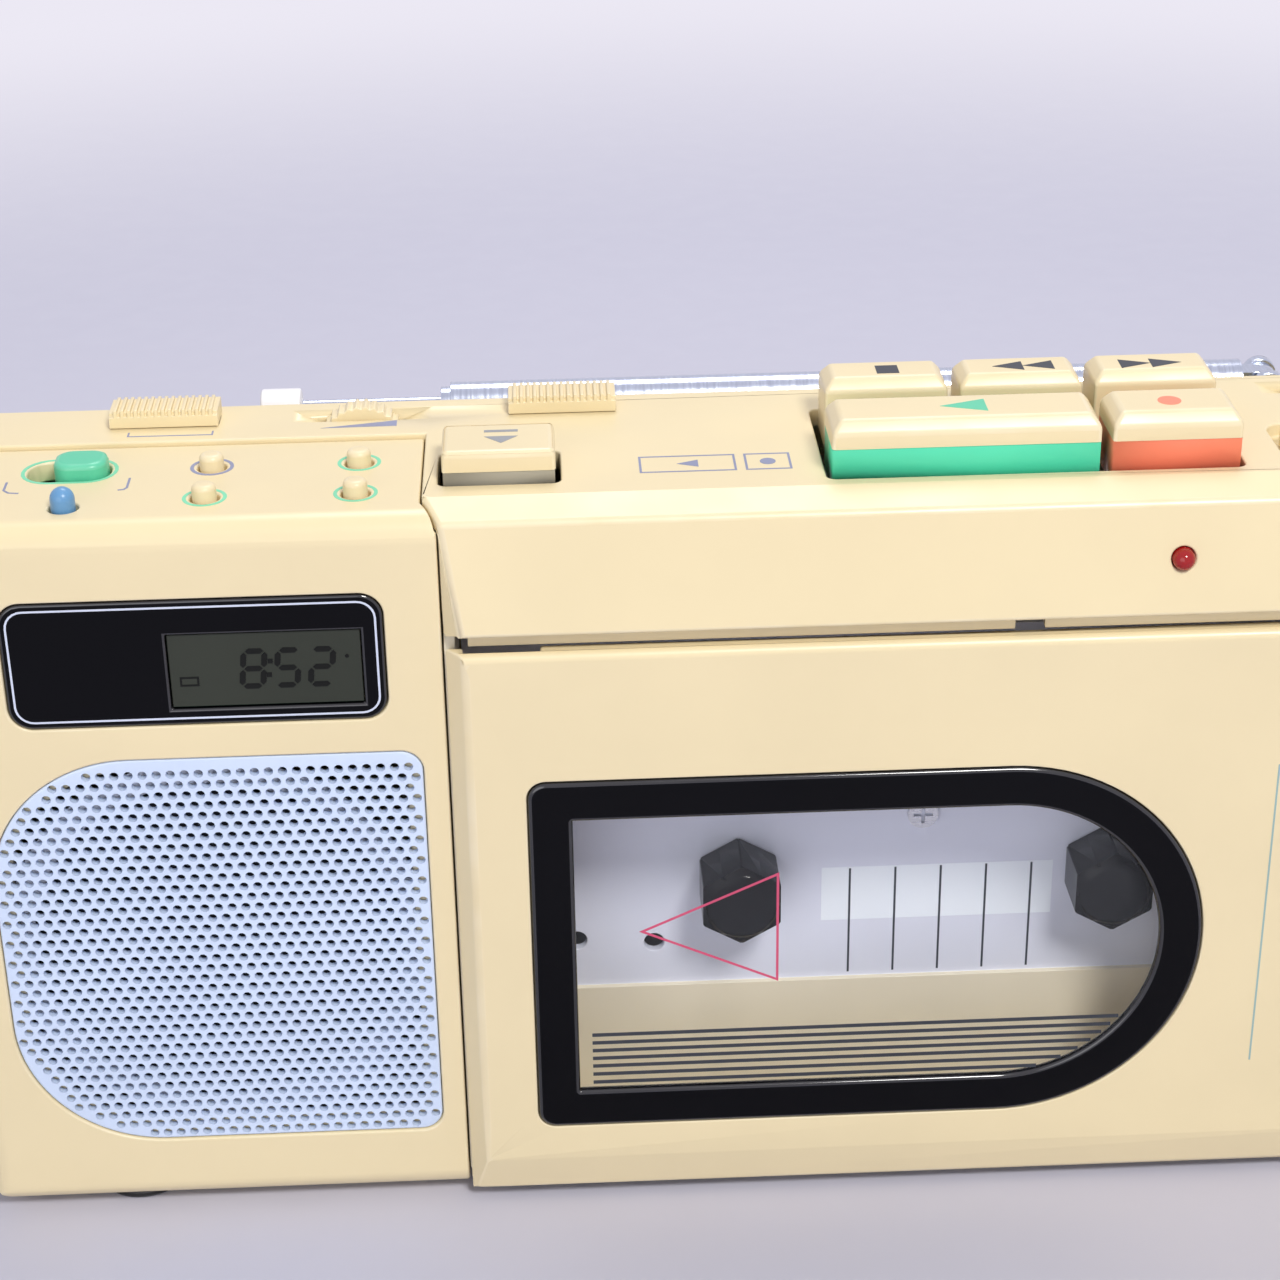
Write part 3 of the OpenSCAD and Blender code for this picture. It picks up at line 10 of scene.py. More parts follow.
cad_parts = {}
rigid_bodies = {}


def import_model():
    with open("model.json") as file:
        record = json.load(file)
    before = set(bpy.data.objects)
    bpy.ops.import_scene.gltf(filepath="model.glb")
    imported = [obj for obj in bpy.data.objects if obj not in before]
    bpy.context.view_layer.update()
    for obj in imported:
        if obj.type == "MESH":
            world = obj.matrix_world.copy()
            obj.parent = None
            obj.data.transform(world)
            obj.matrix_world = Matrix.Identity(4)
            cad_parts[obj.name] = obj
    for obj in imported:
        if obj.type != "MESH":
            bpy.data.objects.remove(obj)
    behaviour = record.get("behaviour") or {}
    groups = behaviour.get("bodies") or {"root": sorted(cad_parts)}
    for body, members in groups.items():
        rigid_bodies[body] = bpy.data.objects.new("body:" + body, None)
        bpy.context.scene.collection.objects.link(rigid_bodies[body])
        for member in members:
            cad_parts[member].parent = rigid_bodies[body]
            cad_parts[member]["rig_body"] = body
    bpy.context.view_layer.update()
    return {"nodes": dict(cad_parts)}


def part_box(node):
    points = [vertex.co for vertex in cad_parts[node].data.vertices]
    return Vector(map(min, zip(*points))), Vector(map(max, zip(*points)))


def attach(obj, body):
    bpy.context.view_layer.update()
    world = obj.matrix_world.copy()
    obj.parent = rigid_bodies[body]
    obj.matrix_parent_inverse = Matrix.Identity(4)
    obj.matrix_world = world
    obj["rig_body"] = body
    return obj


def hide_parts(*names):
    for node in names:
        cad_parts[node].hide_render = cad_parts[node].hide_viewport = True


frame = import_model()

# Planes of the set and the thickness of a print, in mm
MM = 0.001
TOP = 87.0          # top plane of the deck
CLOCK_TOP = 86.5    # keyboard of the clock
KEY_TOP = 93.0      # top of the tape keys
EJECT_TOP = 90.5    # top of the eject key
FRONT = -20.0       # front face of the end modules
DOOR = -22.3        # front face of the cassette door
LENS = -22.1        # front face of the window's lens
DECK = -8.0         # face of the deck behind the window
DISPLAY = -19.65    # front face of the display glass
SCALE = -17.7       # front face of the dial scale
INK = 0.03          # thickness of a print


# Materials

def linear(r, g, b):
    """A colour given in 0..255 screen values, as linear values with alpha."""
    def one(v):
        v /= 255
        return v / 12.92 if v <= 0.04045 else ((v + 0.055) / 1.055) ** 2.4
    return (one(r), one(g), one(b), 1.0)


def shade(colour, factor):
    """A colour made darker or lighter."""
    return tuple(min(1.0, c * factor) for c in colour[:3]) + (1.0,)


def node_material(name):
    """An empty node material with its shader and the socket of its object coordinates."""
    material = bpy.data.materials.new(name)
    material.use_nodes = True
    tree = material.node_tree
    place = tree.nodes.new("ShaderNodeTexCoord").outputs["Object"]
    return material, tree, tree.nodes["Principled BSDF"], place


def noise(tree, place, scale, detail=2.0):
    """A noise texture over a socket of coordinates."""
    texture = tree.nodes.new("ShaderNodeTexNoise")
    texture.inputs["Scale"].default_value = scale
    texture.inputs["Detail"].default_value = detail
    tree.links.new(place, texture.inputs["Vector"])
    return texture


def ranged(tree, source, low, high):
    """A texture's middle values spread over low to high."""
    mapping = tree.nodes.new("ShaderNodeMapRange")
    mapping.inputs["From Min"].default_value = 0.3
    mapping.inputs["From Max"].default_value = 0.7
    mapping.inputs["To Min"].default_value = low
    mapping.inputs["To Max"].default_value = high
    tree.links.new(source.outputs[0], mapping.inputs["Value"])
    return mapping


def mixed(tree, factor, a, b):
    """Two colours, or a colour and a node's colour, mixed by a factor socket."""
    mix = tree.nodes.new("ShaderNodeMix")
    mix.data_type = "RGBA"
    tree.links.new(factor, mix.inputs["Factor"])
    for socket, value in (("A", a), ("B", b)):
        target = next(s for s in mix.inputs if s.name == socket and s.type == "RGBA")
        if isinstance(value, tuple):
            target.default_value = value
        else:
            tree.links.new(value, target)
    return next(s for s in mix.outputs if s.type == "RGBA")


def computed(tree, operation, a, b):
    """The result of a maths node on two sockets."""
    node = tree.nodes.new("ShaderNodeMath")
    node.operation = operation
    tree.links.new(a, node.inputs[0])
    tree.links.new(b, node.inputs[1])
    return node.outputs[0]


def blended(tree, factor, a, b):
    """Two shaders mixed by a factor socket."""
    blend = tree.nodes.new("ShaderNodeMixShader")
    for source, target in zip((factor, a, b), blend.inputs):
        tree.links.new(source, target)
    return blend.outputs[0]


def surface(name, colour, rough=0.4, spread=0.04, grain=900, bump=0.02, wear_and_highlight=0.10, patch=55, shine=0.5,
            glint=None):
    """A moulded or painted surface: patchy colour, paler edges that are partly rubbed wear and partly a
    painted highlight, fine grain and uneven gloss.
    shine is its mirror strength and glint that of its rounded edges, where they differ."""
    material, tree, shader, place = node_material(name)
    patches = ranged(tree, noise(tree, place, patch, 3), 0.0, 1.0)
    body = mixed(tree, patches.outputs[0], shade(colour, 1 - spread), shade(colour, 1 + spread))
    edge = tree.nodes.new("ShaderNodeAttribute")
    edge.attribute_name = "edge"
    # Paler patches on the rounded edges: partly rubbed wear, partly a painted highlight along those edges.
    worn_and_highlit = computed(tree, "MULTIPLY", edge.outputs["Fac"],
                    ranged(tree, noise(tree, place, 160), 0.0, 1.0).outputs[0])
    pale = tuple(c + (1 - c) * wear_and_highlight for c in colour[:3]) + (1.0,)
    tree.links.new(mixed(tree, worn_and_highlit, body, pale), shader.inputs["Base Color"])
    gloss = ranged(tree, noise(tree, place, 120), rough * 0.85, rough * 1.15)
    tree.links.new(gloss.outputs[0], shader.inputs["Roughness"])
    shader.inputs["Specular IOR Level"].default_value = shine
    if glint is not None:
        mirror = tree.nodes.new("ShaderNodeMapRange")
        mirror.inputs["To Min"].default_value = shine
        mirror.inputs["To Max"].default_value = glint
        tree.links.new(edge.outputs["Fac"], mirror.inputs["Value"])
        tree.links.new(mirror.outputs[0], shader.inputs["Specular IOR Level"])
    if bump:
        texture = tree.nodes.new("ShaderNodeBump")
        texture.inputs["Strength"].default_value = 0.25
        texture.inputs["Distance"].default_value = bump * MM
        tree.links.new(noise(tree, place, grain).outputs[0], texture.inputs["Height"])
        tree.links.new(texture.outputs[0], shader.inputs["Normal"])
    return material


def clear(name, colour, alpha):
    """Clear acrylic with faint haze patches."""
    material, tree, shader, place = node_material(name)
    tree.links.new(mixed(tree, ranged(tree, noise(tree, place, 40), 0, 1).outputs[0],
                         shade(colour, 0.95), colour), shader.inputs["Base Color"])
    tree.links.new(ranged(tree, noise(tree, place, 90), 0.03, 0.08).outputs[0], shader.inputs["Roughness"])
    tree.links.new(ranged(tree, noise(tree, place, 25), alpha * 0.8, alpha * 1.2).outputs[0],
                   shader.inputs["Alpha"])
    return material


def brushed(name, colour, rough, stretch):
    """Metal with fine lines drawn out along one axis."""
    material, tree, shader, place = node_material(name)
    mapping = tree.nodes.new("ShaderNodeMapping")
    mapping.inputs["Scale"].default_value = stretch
    tree.links.new(place, mapping.inputs["Vector"])
    lines = noise(tree, mapping.outputs[0], 300)
    tree.links.new(mixed(tree, ranged(tree, lines, 0, 1).outputs[0], shade(colour, 0.9), colour),
                   shader.inputs["Base Color"])
    tree.links.new(ranged(tree, lines, rough * 0.7, rough * 1.3).outputs[0], shader.inputs["Roughness"])
    shader.inputs["Metallic"].default_value = 1.0
    return material


M = {
    "cream": surface("cream_plastic", linear(232, 215, 174), 0.34, 0.02),
    "cream_soft": surface("cream_plastic_inside", linear(234, 224, 200), 0.5, 0.04),
    "green": surface("green_plastic", linear(84, 222, 180), 0.32),
    "green_pale": surface("green_knob", linear(86, 198, 158), 0.32),
    "coral": surface("coral_plastic", linear(255, 138, 106), 0.32),
    "blue": surface("blue_plastic", linear(100, 150, 194), 0.32),
    "grey": surface("grey_plastic", linear(172, 167, 152), 0.45),
    "black": surface("black_plastic", linear(3, 3, 6), 0.1, 0.2, bump=0.004, wear_and_highlight=0.005, shine=0.12,
                     glint=0.9),
    "black_soft": surface("black_moulding", linear(8, 7, 10), 0.16, 0.15, wear_and_highlight=0.01, shine=0.12),
    "dark": surface("dark_inside", linear(34, 33, 36), 0.7, 0.2),
    "white": surface("white_plastic", linear(238, 237, 240), 0.35),
    "mesh": surface("white_mesh", linear(206, 220, 243), 0.38, 0.05, wear_and_highlight=0.0, patch=30),
    "lilac": surface("lilac_paint", linear(222, 225, 240), 0.42, 0.03),
    # The paler lilac of the painted pool of light on the deck plate.
    "painted_light_patch": surface("painted_light_lilac", linear(240, 246, 255), 0.35, 0.02, bump=0, wear_and_highlight=0.0),
    "rubber": surface("black_rubber", linear(30, 30, 31), 0.75, 0.15, bump=0.05),
    "red": surface("red_lamp", linear(160, 14, 14), 0.08, 0.15, bump=0, wear_and_highlight=0.0),
    "board": surface("board", linear(40, 96, 62), 0.5, 0.15),
    "parts": surface("board_components", linear(120, 118, 112), 0.5, 0.2),
    "ferrite": surface("ferrite", linear(60, 56, 54), 0.6, 0.2),
    "paper": surface("cone_paper", linear(40, 40, 44), 0.85, 0.2, grain=500, bump=0.1),
    "lcd": surface("display_glass", linear(55, 58, 51), 0.14, 0.06, bump=0.003, wear_and_highlight=0.0, shine=0.15),
    "lcd_low": surface("display_glass_low", linear(44, 57, 46), 0.14, 0.06, bump=0.003, wear_and_highlight=0.0,
                       shine=0.15),
    "segment": surface("display_segment", linear(22, 23, 21), 0.3, 0.1, bump=0, wear_and_highlight=0.0, shine=0.15),
    "clear": clear("clear_plastic", linear(232, 236, 246), 0.02),
    "steel": brushed("bright_steel", linear(206, 207, 211), 0.32, (1, 1, 12)),
    "head": brushed("head_metal", linear(176, 176, 174), 0.25, (12, 1, 1)),
    "brass": brushed("brass_parts", linear(196, 170, 112), 0.3, (1, 12, 1)),
    "chrome": brushed("aerial_chrome", linear(198, 205, 219), 0.2, (12, 1, 1)),
    "ink": surface("grey_ink", linear(136, 141, 170), 0.5, 0.08, bump=0, wear_and_highlight=0.0),
    "ink_grey": surface("eject_ink", linear(150, 152, 156), 0.5, 0.08, bump=0, wear_and_highlight=0.0),
    "ink_dark": surface("dark_ink", linear(46, 50, 58), 0.5, 0.08, bump=0, wear_and_highlight=0.0),
    "ink_mint": surface("mint_ink", linear(126, 212, 172), 0.5, 0.08, bump=0, wear_and_highlight=0.0),
    "ink_pink": surface("pink_ink", linear(206, 78, 112), 0.5, 0.08, bump=0, wear_and_highlight=0.0),
    "ink_white": surface("white_ink", linear(206, 213, 230), 0.5, 0.05, bump=0, wear_and_highlight=0.0),
    "ink_line": surface("teal_ink", linear(150, 178, 176), 0.5, 0.05, bump=0, wear_and_highlight=0.0),
}


# Rounded copies of the CAD nodes

def body_of(node):
    """The body that a CAD node rides on."""
    return frame["nodes"][node]["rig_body"]


def finish_piece(piece, body):
    """Links a new piece, smooths it and lets it move with its body."""
    bpy.context.scene.collection.objects.link(piece)
    piece.data.shade_smooth()
    piece.data.set_sharp_from_angle(angle=math.radians(40))
    normals = piece.modifiers.new("weighted", "WEIGHTED_NORMAL")
    normals.keep_sharp = True
    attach(piece, body)
    return piece


def sharp_edges(bm, angle, chosen):
    """Edges bent by more than an angle whose middle, in mm, and length are chosen."""
    found = []
    for edge in bm.edges:
        if len(edge.link_faces) == 2 and edge.calc_face_angle(0) > math.radians(angle):
            middle = (edge.verts[0].co + edge.verts[1].co) / 2 / MM
            if chosen is None or chosen(*middle, edge.calc_length() / MM):
                found.append(edge)
    return found


def round_off(bm, layer, edges, width, segments):
    """Rounds edges to a width in mm, and marks the new faces in a layer."""
    if edges and width:
        made = bmesh.ops.bevel(bm, geom=edges, offset=width * MM, segments=segments, profile=0.5,
                               affect="EDGES", clamp_overlap=False)
        for face in made["faces"]:
            face[layer] = 1.0


def dress(node, material, width=0.25, segments=2, paint=None, cut=None, only=None, soft=None):
    """A copy of a node with its sharp edges rounded. paint gives a material for a face's centre in mm,
    only chooses the edges that are rounded, and soft those that are rounded more, as (width, choice)."""
    mesh = frame["nodes"][node].data.copy()
    bm = bmesh.new()
    bm.from_mesh(mesh)
    bmesh.ops.remove_doubles(bm, verts=bm.verts, dist=1e-6)
    edge = bm.faces.layers.float.new("edge")
    if soft:
        round_off(bm, edge, sharp_edges(bm, 30, soft[1]), soft[0], 4)
    round_off(bm, edge, sharp_edges(bm, 35, only), width, segments)
    names = [material]
    for face in bm.faces:
        face.material_index = 0
        if paint:
            wanted = paint(*(face.calc_center_median() / MM)) or material
            if wanted not in names:
                names.append(wanted)
            face.material_index = names.index(wanted)
    mesh.materials.clear()
    for name in names:
        mesh.materials.append(M[name])
    bm.to_mesh(mesh)
    bm.free()
    piece = bpy.data.objects.new(node + ".dressed", mesh)
    if cut:
        punch(piece, cut)
    finish_piece(piece, body_of(node))
    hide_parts(node)
    return piece


def punch(piece, cutter):
    """Cuts a mesh object out of a piece for good."""
    linked = bpy.context.scene.collection.objects
    linked.link(piece)
    linked.link(cutter)
    boolean = piece.modifiers.new("punch", "BOOLEAN")
    boolean.object = cutter
    boolean.solver = "MANIFOLD"
    depsgraph = bpy.context.evaluated_depsgraph_get()
    cut = bpy.data.meshes.new_from_object(piece.evaluated_get(depsgraph))
    piece.modifiers.remove(boolean)
    piece.data = cut
    linked.unlink(piece)
    bpy.data.objects.remove(cutter)


def prisms(name, outlines, low, high, place):
    """Closed prisms over flat outlines; place turns (u, v, depth) in mm into a point."""
    bm = bmesh.new()
    for outline in outlines:
        near = [bm.verts.new(Vector(place(u, v, low)) * MM) for u, v in outline]
        far = [bm.verts.new(Vector(place(u, v, high)) * MM) for u, v in outline]
        bm.faces.new(near)
        bm.faces.new(far)
        for i in range(len(outline)):
            j = (i + 1) % len(outline)
            bm.faces.new((near[i], near[j], far[j], far[i]))
    bmesh.ops.recalc_face_normals(bm, faces=bm.faces)
    mesh = bpy.data.meshes.new(name)
    bm.to_mesh(mesh)
    bm.free()
    return mesh


def on_front(y):
    """Prints on an upright face at that Y, standing towards the front."""
    return lambda u, v, depth: (u, y - depth, v)


def on_back(y):
    """As on_front, standing towards the back."""
    return lambda u, v, depth: (u, y + depth, v)


def on_top(z):
    """Prints on a level face at that Z."""
    return lambda u, v, depth: (u, v, z + depth)


def printed(name, outlines, place, ink, body, low=-0.05):
    """A thin print that starts at a depth of low in what carries it."""
    mesh = prisms(name, outlines, low, INK, place)
    mesh.materials.append(M[ink])
    return finish_piece(bpy.data.objects.new(name, mesh), body)


# Flat outlines, in mm

def circle(x, y, r, count=32):
    return [(x + r * math.cos(a), y + r * math.sin(a)) for a in (math.tau * i / count for i in range(count))]


def rectangle(x0, y0, x1, y1):
    return [(x0, y0), (x1, y0), (x1, y1), (x0, y1)]


def triangle(x, y, length, height):
    """A triangle with its tip at x + length."""
    return [(x, y - height / 2), (x + length, y), (x, y + height / 2)]


def rounded_box(x0, y0, x1, y1, r, count=6):
    """A rectangle with round corners, anticlockwise."""
    points = []
    for cx, cy, start in ((x1 - r, y0 + r, 270), (x1 - r, y1 - r, 0),
                          (x0 + r, y1 - r, 90), (x0 + r, y0 + r, 180)):
        for i in range(count + 1):
            a = math.radians(start + 90 * i / count)
            points.append((cx + r * math.cos(a), cy + r * math.sin(a)))
    return points


def stroke(points, width, closed=True):
    """Quads along a line, mitred at its corners."""
    count = len(points)
    sides = []
    for i in range(count):
        before = Vector(points[i - 1] if closed or i else points[i])
        here = Vector(points[i])
        after = Vector(points[(i + 1) % count] if closed or i < count - 1 else points[i])
        a = (here - before).normalized() if (here - before).length else (after - here).normalized()
        b = (after - here).normalized() if (after - here).length else a
        normal = Vector((-(a.y + b.y), a.x + b.x)).normalized()
        reach = width / 2 / max(0.35, normal.dot(Vector((-a.y, a.x))))
        sides.append((here + normal * reach, here - normal * reach))
    last = count if closed else count - 1
    return [[tuple(sides[i][0]), tuple(sides[(i + 1) % count][0]), tuple(sides[(i + 1) % count][1]),
             tuple(sides[i][1])] for i in range(last)]


def ring(x, y, r, width):
    return stroke(circle(x, y, r), width)


# Cabinet, controls and drive

def above(z, upper, lower):
    """Paints what lies above a height with one material and the rest with another."""
    return lambda x, y, face_z: upper if face_z > z else lower


PLAIN = [
    ("left_module", "cream", 0.25), ("right_module", "cream", 0.25),
    ("rear_cabinet", "cream", 0.25), ("battery_door", "cream", 0.2),
    ("window_rim", "black", 0.45), ("window_lens", "clear", 0.1), ("cassette_holder", "cream_soft", 0.2),
    ("deck_chassis", "cream_soft", 0.15), ("display_panel", "black", 0.3), ("dial_window", "clear", 0.3),
    ("sleep_button", "blue", 0.2), ("timer_switch", "green_pale", 0.6),
    ("function_switch", "cream", 0.07), ("tape_switch", "cream", 0.07), ("band_switch", "cream", 0.05),
    ("volume_wheel", "cream", 0.12), ("tuning_wheel", "cream", 0.12), ("battery_lamp", "red", 0.0),
    ("stop_key", "cream", 0.35), ("rewind_key", "cream", 0.35), ("forward_key", "cream", 0.35),
    ("feet", "rubber", 0.3),
    ("side_jacks", "black_soft", 0.2), ("aerial_base", "chrome", 0.15), ("aerial_tube", "chrome", 0.1),
    ("aerial_middle", "chrome", 0.08), ("pinch_roller", "rubber", 0.3), ("head_bridge", "steel", 0.15),
    ("tape_heads", "head", 0.3), ("flywheel", "brass", 0.2), ("dial_pointer", "coral", 0.2),
]
for node, material, width in PLAIN:
    dress(node, material, width)
for node in ("clock_button", "alarm_button", "hour_button", "minute_button"):
    dress(node, "cream", 0.6, 4, only=lambda x, y, z, length: z > CLOCK_TOP)


def front_edge(x, y, z, length):
    """The long edges of the brow's face."""
    return length > 3 and (y < -22 or y < -15.5 and z > 85 or y < -20.5 and abs(x) > 50 and z > 74)


def door_edge(x, y, z, length):
    """The long edges round the door's front, not those of its window."""
    return length > 20 and y < -20.5 and (abs(x) > 48 or z < 9 or z > 68)


def deck_edge(x, y, z, length):
    """The top deck's other edges, apart from those of the scoops round the wheels."""
    scoop = y > 6 and (-71 < x < -53.5 or 38.5 < x < 55)
    return z > 75 and not scoop


dress("top_deck", "cream", 0.25, soft=(0.6, front_edge), only=deck_edge)
dress("cassette_door", "cream", 0.2, soft=(0.6, door_edge), only=lambda x, y, z, length: y < -20.5)
for node in ("supply_spindle", "takeup_spindle"):
    dress(node, "black_soft", 0.2, 3, only=lambda x, y, z, length: y < -9 and length > 3)
dress("aerial_inner", "chrome", 0.3, paint=lambda x, y, z: "white" if x < -69.5 else None)
KEY_BANDS = (("play_key", "green", 90.0), ("record_key", "coral", 90.0), ("eject_key", "grey", 88.2))
for node, base, band in KEY_BANDS:
    dress(node, "cream", 0.4, 3, above(band - 0.01, "cream", base),
          only=lambda x, y, z, length: z > band + 0.3)
APRON_TOP = 20.9
dress("deck_plate", "lilac", 0.1,
      paint=lambda x, y, z: "cream_soft" if y < DECK - 0.02 and z < APRON_TOP else None)
dress("dial_scale", "black_soft", 0.1)

INSIDE = {
    "battery_box": "grey", "speaker_basket": "steel", "speaker_cone": "paper", "circuit_boards": "board",
    "board_parts": "parts", "hinge_pins": "steel", "motor_pulley": "brass", "drive_belt": "rubber",
    "drive_bracket": "steel", "motor": "steel", "key_plate": "steel", "ferrite_bar": "ferrite",
}
for node, material in INSIDE.items():
    mesh = frame["nodes"][node].data
    mesh.materials.clear()
    mesh.materials.append(M[material])


# Speaker grille with its real holes

def grille_holes():
    """A hexagonal field of holes inside the grille's outline, whose left corners are the big ones."""
    pitch, radius, margin, big, small = 1.5, 0.52, 0.85, 16.0, 2.5
    row_pitch, side = pitch * math.sqrt(0.75), margin * 0.9
    low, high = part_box("speaker_grille")
    x0, x1, z0, z1 = low.x / MM, high.x / MM, low.z / MM, high.z / MM
    outlines = []
    for row in range(int((z1 - z0) / row_pitch) + 1):
        z = z0 + margin + row * row_pitch
        for column in range(int((x1 - x0) / pitch) + 1):
            x = x0 + margin + (column + row % 2 / 2) * pitch
            corner = big if x < (x0 + x1) / 2 else small
            dx = max(0.0, x0 + corner - x) if x < (x0 + x1) / 2 else max(0.0, x - (x1 - corner))
            dz = max(0.0, z0 + corner - z, z - (z1 - corner))
            in_corner = math.hypot(dx, dz) < corner - margin + 0.2
            in_box = x0 + side < x < x1 - side and z0 + side < z < z1 - side
            if in_corner or in_box and not (dx and dz):
                outlines.append(circle(x, z, radius, 10))
    return outlines


GRILLE = -19.4
holes = bpy.data.objects.new("holes", prisms("holes", grille_holes(), -3.0, 3.0, on_front(GRILLE)))
dress("speaker_grille", "mesh", 0.25, cut=holes)


# Cross-head screws

def cross_slots(centres, place, reach, width):
    """Two crossed slots for each screw, as one closed outline."""
    half = width / 2
    outline = [(half, half), (half, reach), (-half, reach), (-half, half), (-reach, half), (-reach, -half),
               (-half, -half), (-half, -reach), (half, -reach), (half, -half), (reach, -half), (reach, half)]
    return prisms("slots", [[(x + u, z + v) for u, v in outline] for x, z in centres], -0.6, 2.0, place)


BACK_SCREWS = [(x, z) for x in (-103.0, 103.0) for z in (7.6, 75.0)]
BACK_HEAD = 22.2
slots = bpy.data.objects.new("slots", cross_slots(BACK_SCREWS, on_back(BACK_HEAD), 1.5, 0.55))
dress("cabinet_screws", "steel", 0.25, cut=slots)

DECK_SCREW = (0.0, 42.6)
DECK_HEAD = 0.5
head = prisms("deck_screw", [circle(*DECK_SCREW, 1.75)], -0.05, DECK_HEAD, on_front(DECK))
head.materials.append(M["steel"])
deck_screw = bpy.data.objects.new("deck_screw", head)
slot = bpy.data.objects.new("slot", cross_slots([DECK_SCREW], on_front(DECK - DECK_HEAD), 1.1, 0.4))
punch(deck_screw, slot)
finish_piece(deck_screw, body_of("deck_plate"))
# A brighter lilac rectangle on the deck behind the window: a painted pool of light on the deck plate.
printed("deck_painted_light", [rectangle(-11.5, 28.6, 15.4, 35.7)], on_front(DECK), "painted_light_patch",
        body_of("deck_plate"))


# Clock display

def seven_segments(x, z, width, height, lit, lean=0.1):
    """The lit bars of one digit, as slanted six-sided outlines."""
    half = 0.32
    middle = height / 2
    ends = {"a": ((0, height), (width, height)), "b": ((width, height), (width, middle)),
            "c": ((width, middle), (width, 0)), "d": ((0, 0), (width, 0)), "e": ((0, middle), (0, 0)),
            "f": ((0, height), (0, middle)), "g": ((0, middle), (width, middle))}
    outlines = []
    for bar in lit:
        a, b = Vector(ends[bar][0]), Vector(ends[bar][1])
        along = (b - a).normalized()
        side = Vector((-along.y, along.x)) * half
        a, b = a + along * 0.12, b - along * 0.12
        start, end = a + along * half, b - along * half
        points = [a, start + side, end + side, b, end - side, start - side]
        outlines.append([(x + p.x + lean * p.y, z + p.y) for p in points])
    return outlines


EIGHT, FIVE, TWO = "abcdefg", "acdfg", "abdeg"
digits = []
for x, lit in ((-74.6, EIGHT), (-71.0, FIVE), (-67.4, TWO)):
    digits += seven_segments(x, 67.7, 2.2, 4.1, lit)
digits += [rectangle(-71.95, 68.7, -71.4, 69.25), rectangle(-71.75, 70.3, -71.2, 70.85)]
digits += [circle(-63.4, 70.9, 0.22, 12)]
digits += stroke(rectangle(-81.0, 68.0, -79.2, 68.9), 0.22)
dress("lcd_glass", "lcd", 0.1, paint=above(66.9, "lcd", "lcd_low"))
printed("lcd_digits", digits, on_front(DISPLAY), "segment", "cabinet")
printed("panel_line", stroke(rounded_box(-98.6, 64.3, -60.2, 77.3, 1.9), 0.22), on_front(FRONT),
        "ink_white", "cabinet")


# Prints on the cassette door and behind its window

STRIPE_ROWS = (23.4, 22.35, 21.3, 20.25, 19.2, 18.1, 17.0)
STRIPE_LEFT, STRIPE_HALF = -38.7, 0.23
BAR_COLUMNS = (-10, -5, 0, 5, 10)
BAR_HALF = 0.12


def window_right(z):
    """X where the round end of the clear window meets that height."""
    centre_x, centre_z, radius = 6.8, 33.75, 17.5
    return centre_x + math.sqrt(max(0.0, radius ** 2 - (z - centre_z) ** 2))


stripes = [rectangle(STRIPE_LEFT, z - STRIPE_HALF, window_right(z), z + STRIPE_HALF) for z in STRIPE_ROWS]
bars = [rectangle(x - BAR_HALF, 30.7, x + BAR_HALF, 44.1) for x in BAR_COLUMNS]
printed("window_stripes", stripes, on_front(LENS), "ink_dark", "door", 0.0)
printed("window_bars", bars, on_front(LENS), "ink_dark", "door", 0.0)
printed("window_arrow", stroke([(-32.9, 36.9), (-17.9, 30.0), (-17.9, 43.7)], 0.28), on_front(LENS),
        "ink_pink", "door", 0.0)
printed("door_line", [rectangle(36.3, 16.8, 36.5, 55.4)], on_front(DOOR), "ink_line", "door")


# Prints on the keys and the top

KEY_MARKS = {
    "stop": ("ink_dark", [rectangle(-5.4, 0.7, -2.95, 3.1)]),
    "rewind": ("ink_dark", [triangle(10.75, 1.85, -3.35, 2.6), triangle(14.1, 1.85, -3.35, 2.6)]),
    "forward": ("ink_dark", [triangle(21.4, 1.5, 3.4, 2.6), triangle(24.8, 1.5, 3.4, 2.6)]),
    "play": ("green_pale", [triangle(4.9, -9.45, -4.9, 3.4)]),
    "record": ("coral", [circle(24.4, -9.8, 1.25)]),
}
for key, (ink, outlines) in KEY_MARKS.items():
    printed(key + "_mark", outlines, on_top(KEY_TOP), ink, key)
printed("eject_mark", [rectangle(-48.3, -6.8, -44.7, -6.2), [(-48.3, -8.0), (-44.7, -8.0), (-46.5, -9.9)]],
        on_top(EJECT_TOP), "ink_grey", "eject")

deck_marks = stroke(rectangle(-31.8, -10.8, -21.7, -6.6), 0.25)
deck_marks += stroke(rectangle(-20.5, -10.8, -15.8, -6.6), 0.25)
deck_marks += [triangle(-25.6, -8.7, -2.3, 1.9), circle(-18.15, -8.7, 0.85)]
deck_marks += [[(-66.6, 4.6), (-58.2, 4.7), (-58.2, 6.3)]]
deck_marks += stroke([(-87.7, 4.9), (-87.7, 3.8), (-78.45, 3.7), (-78.45, 4.8)], 0.2, closed=False)
printed("deck_marks", deck_marks, on_top(TOP), "ink", "cabinet")

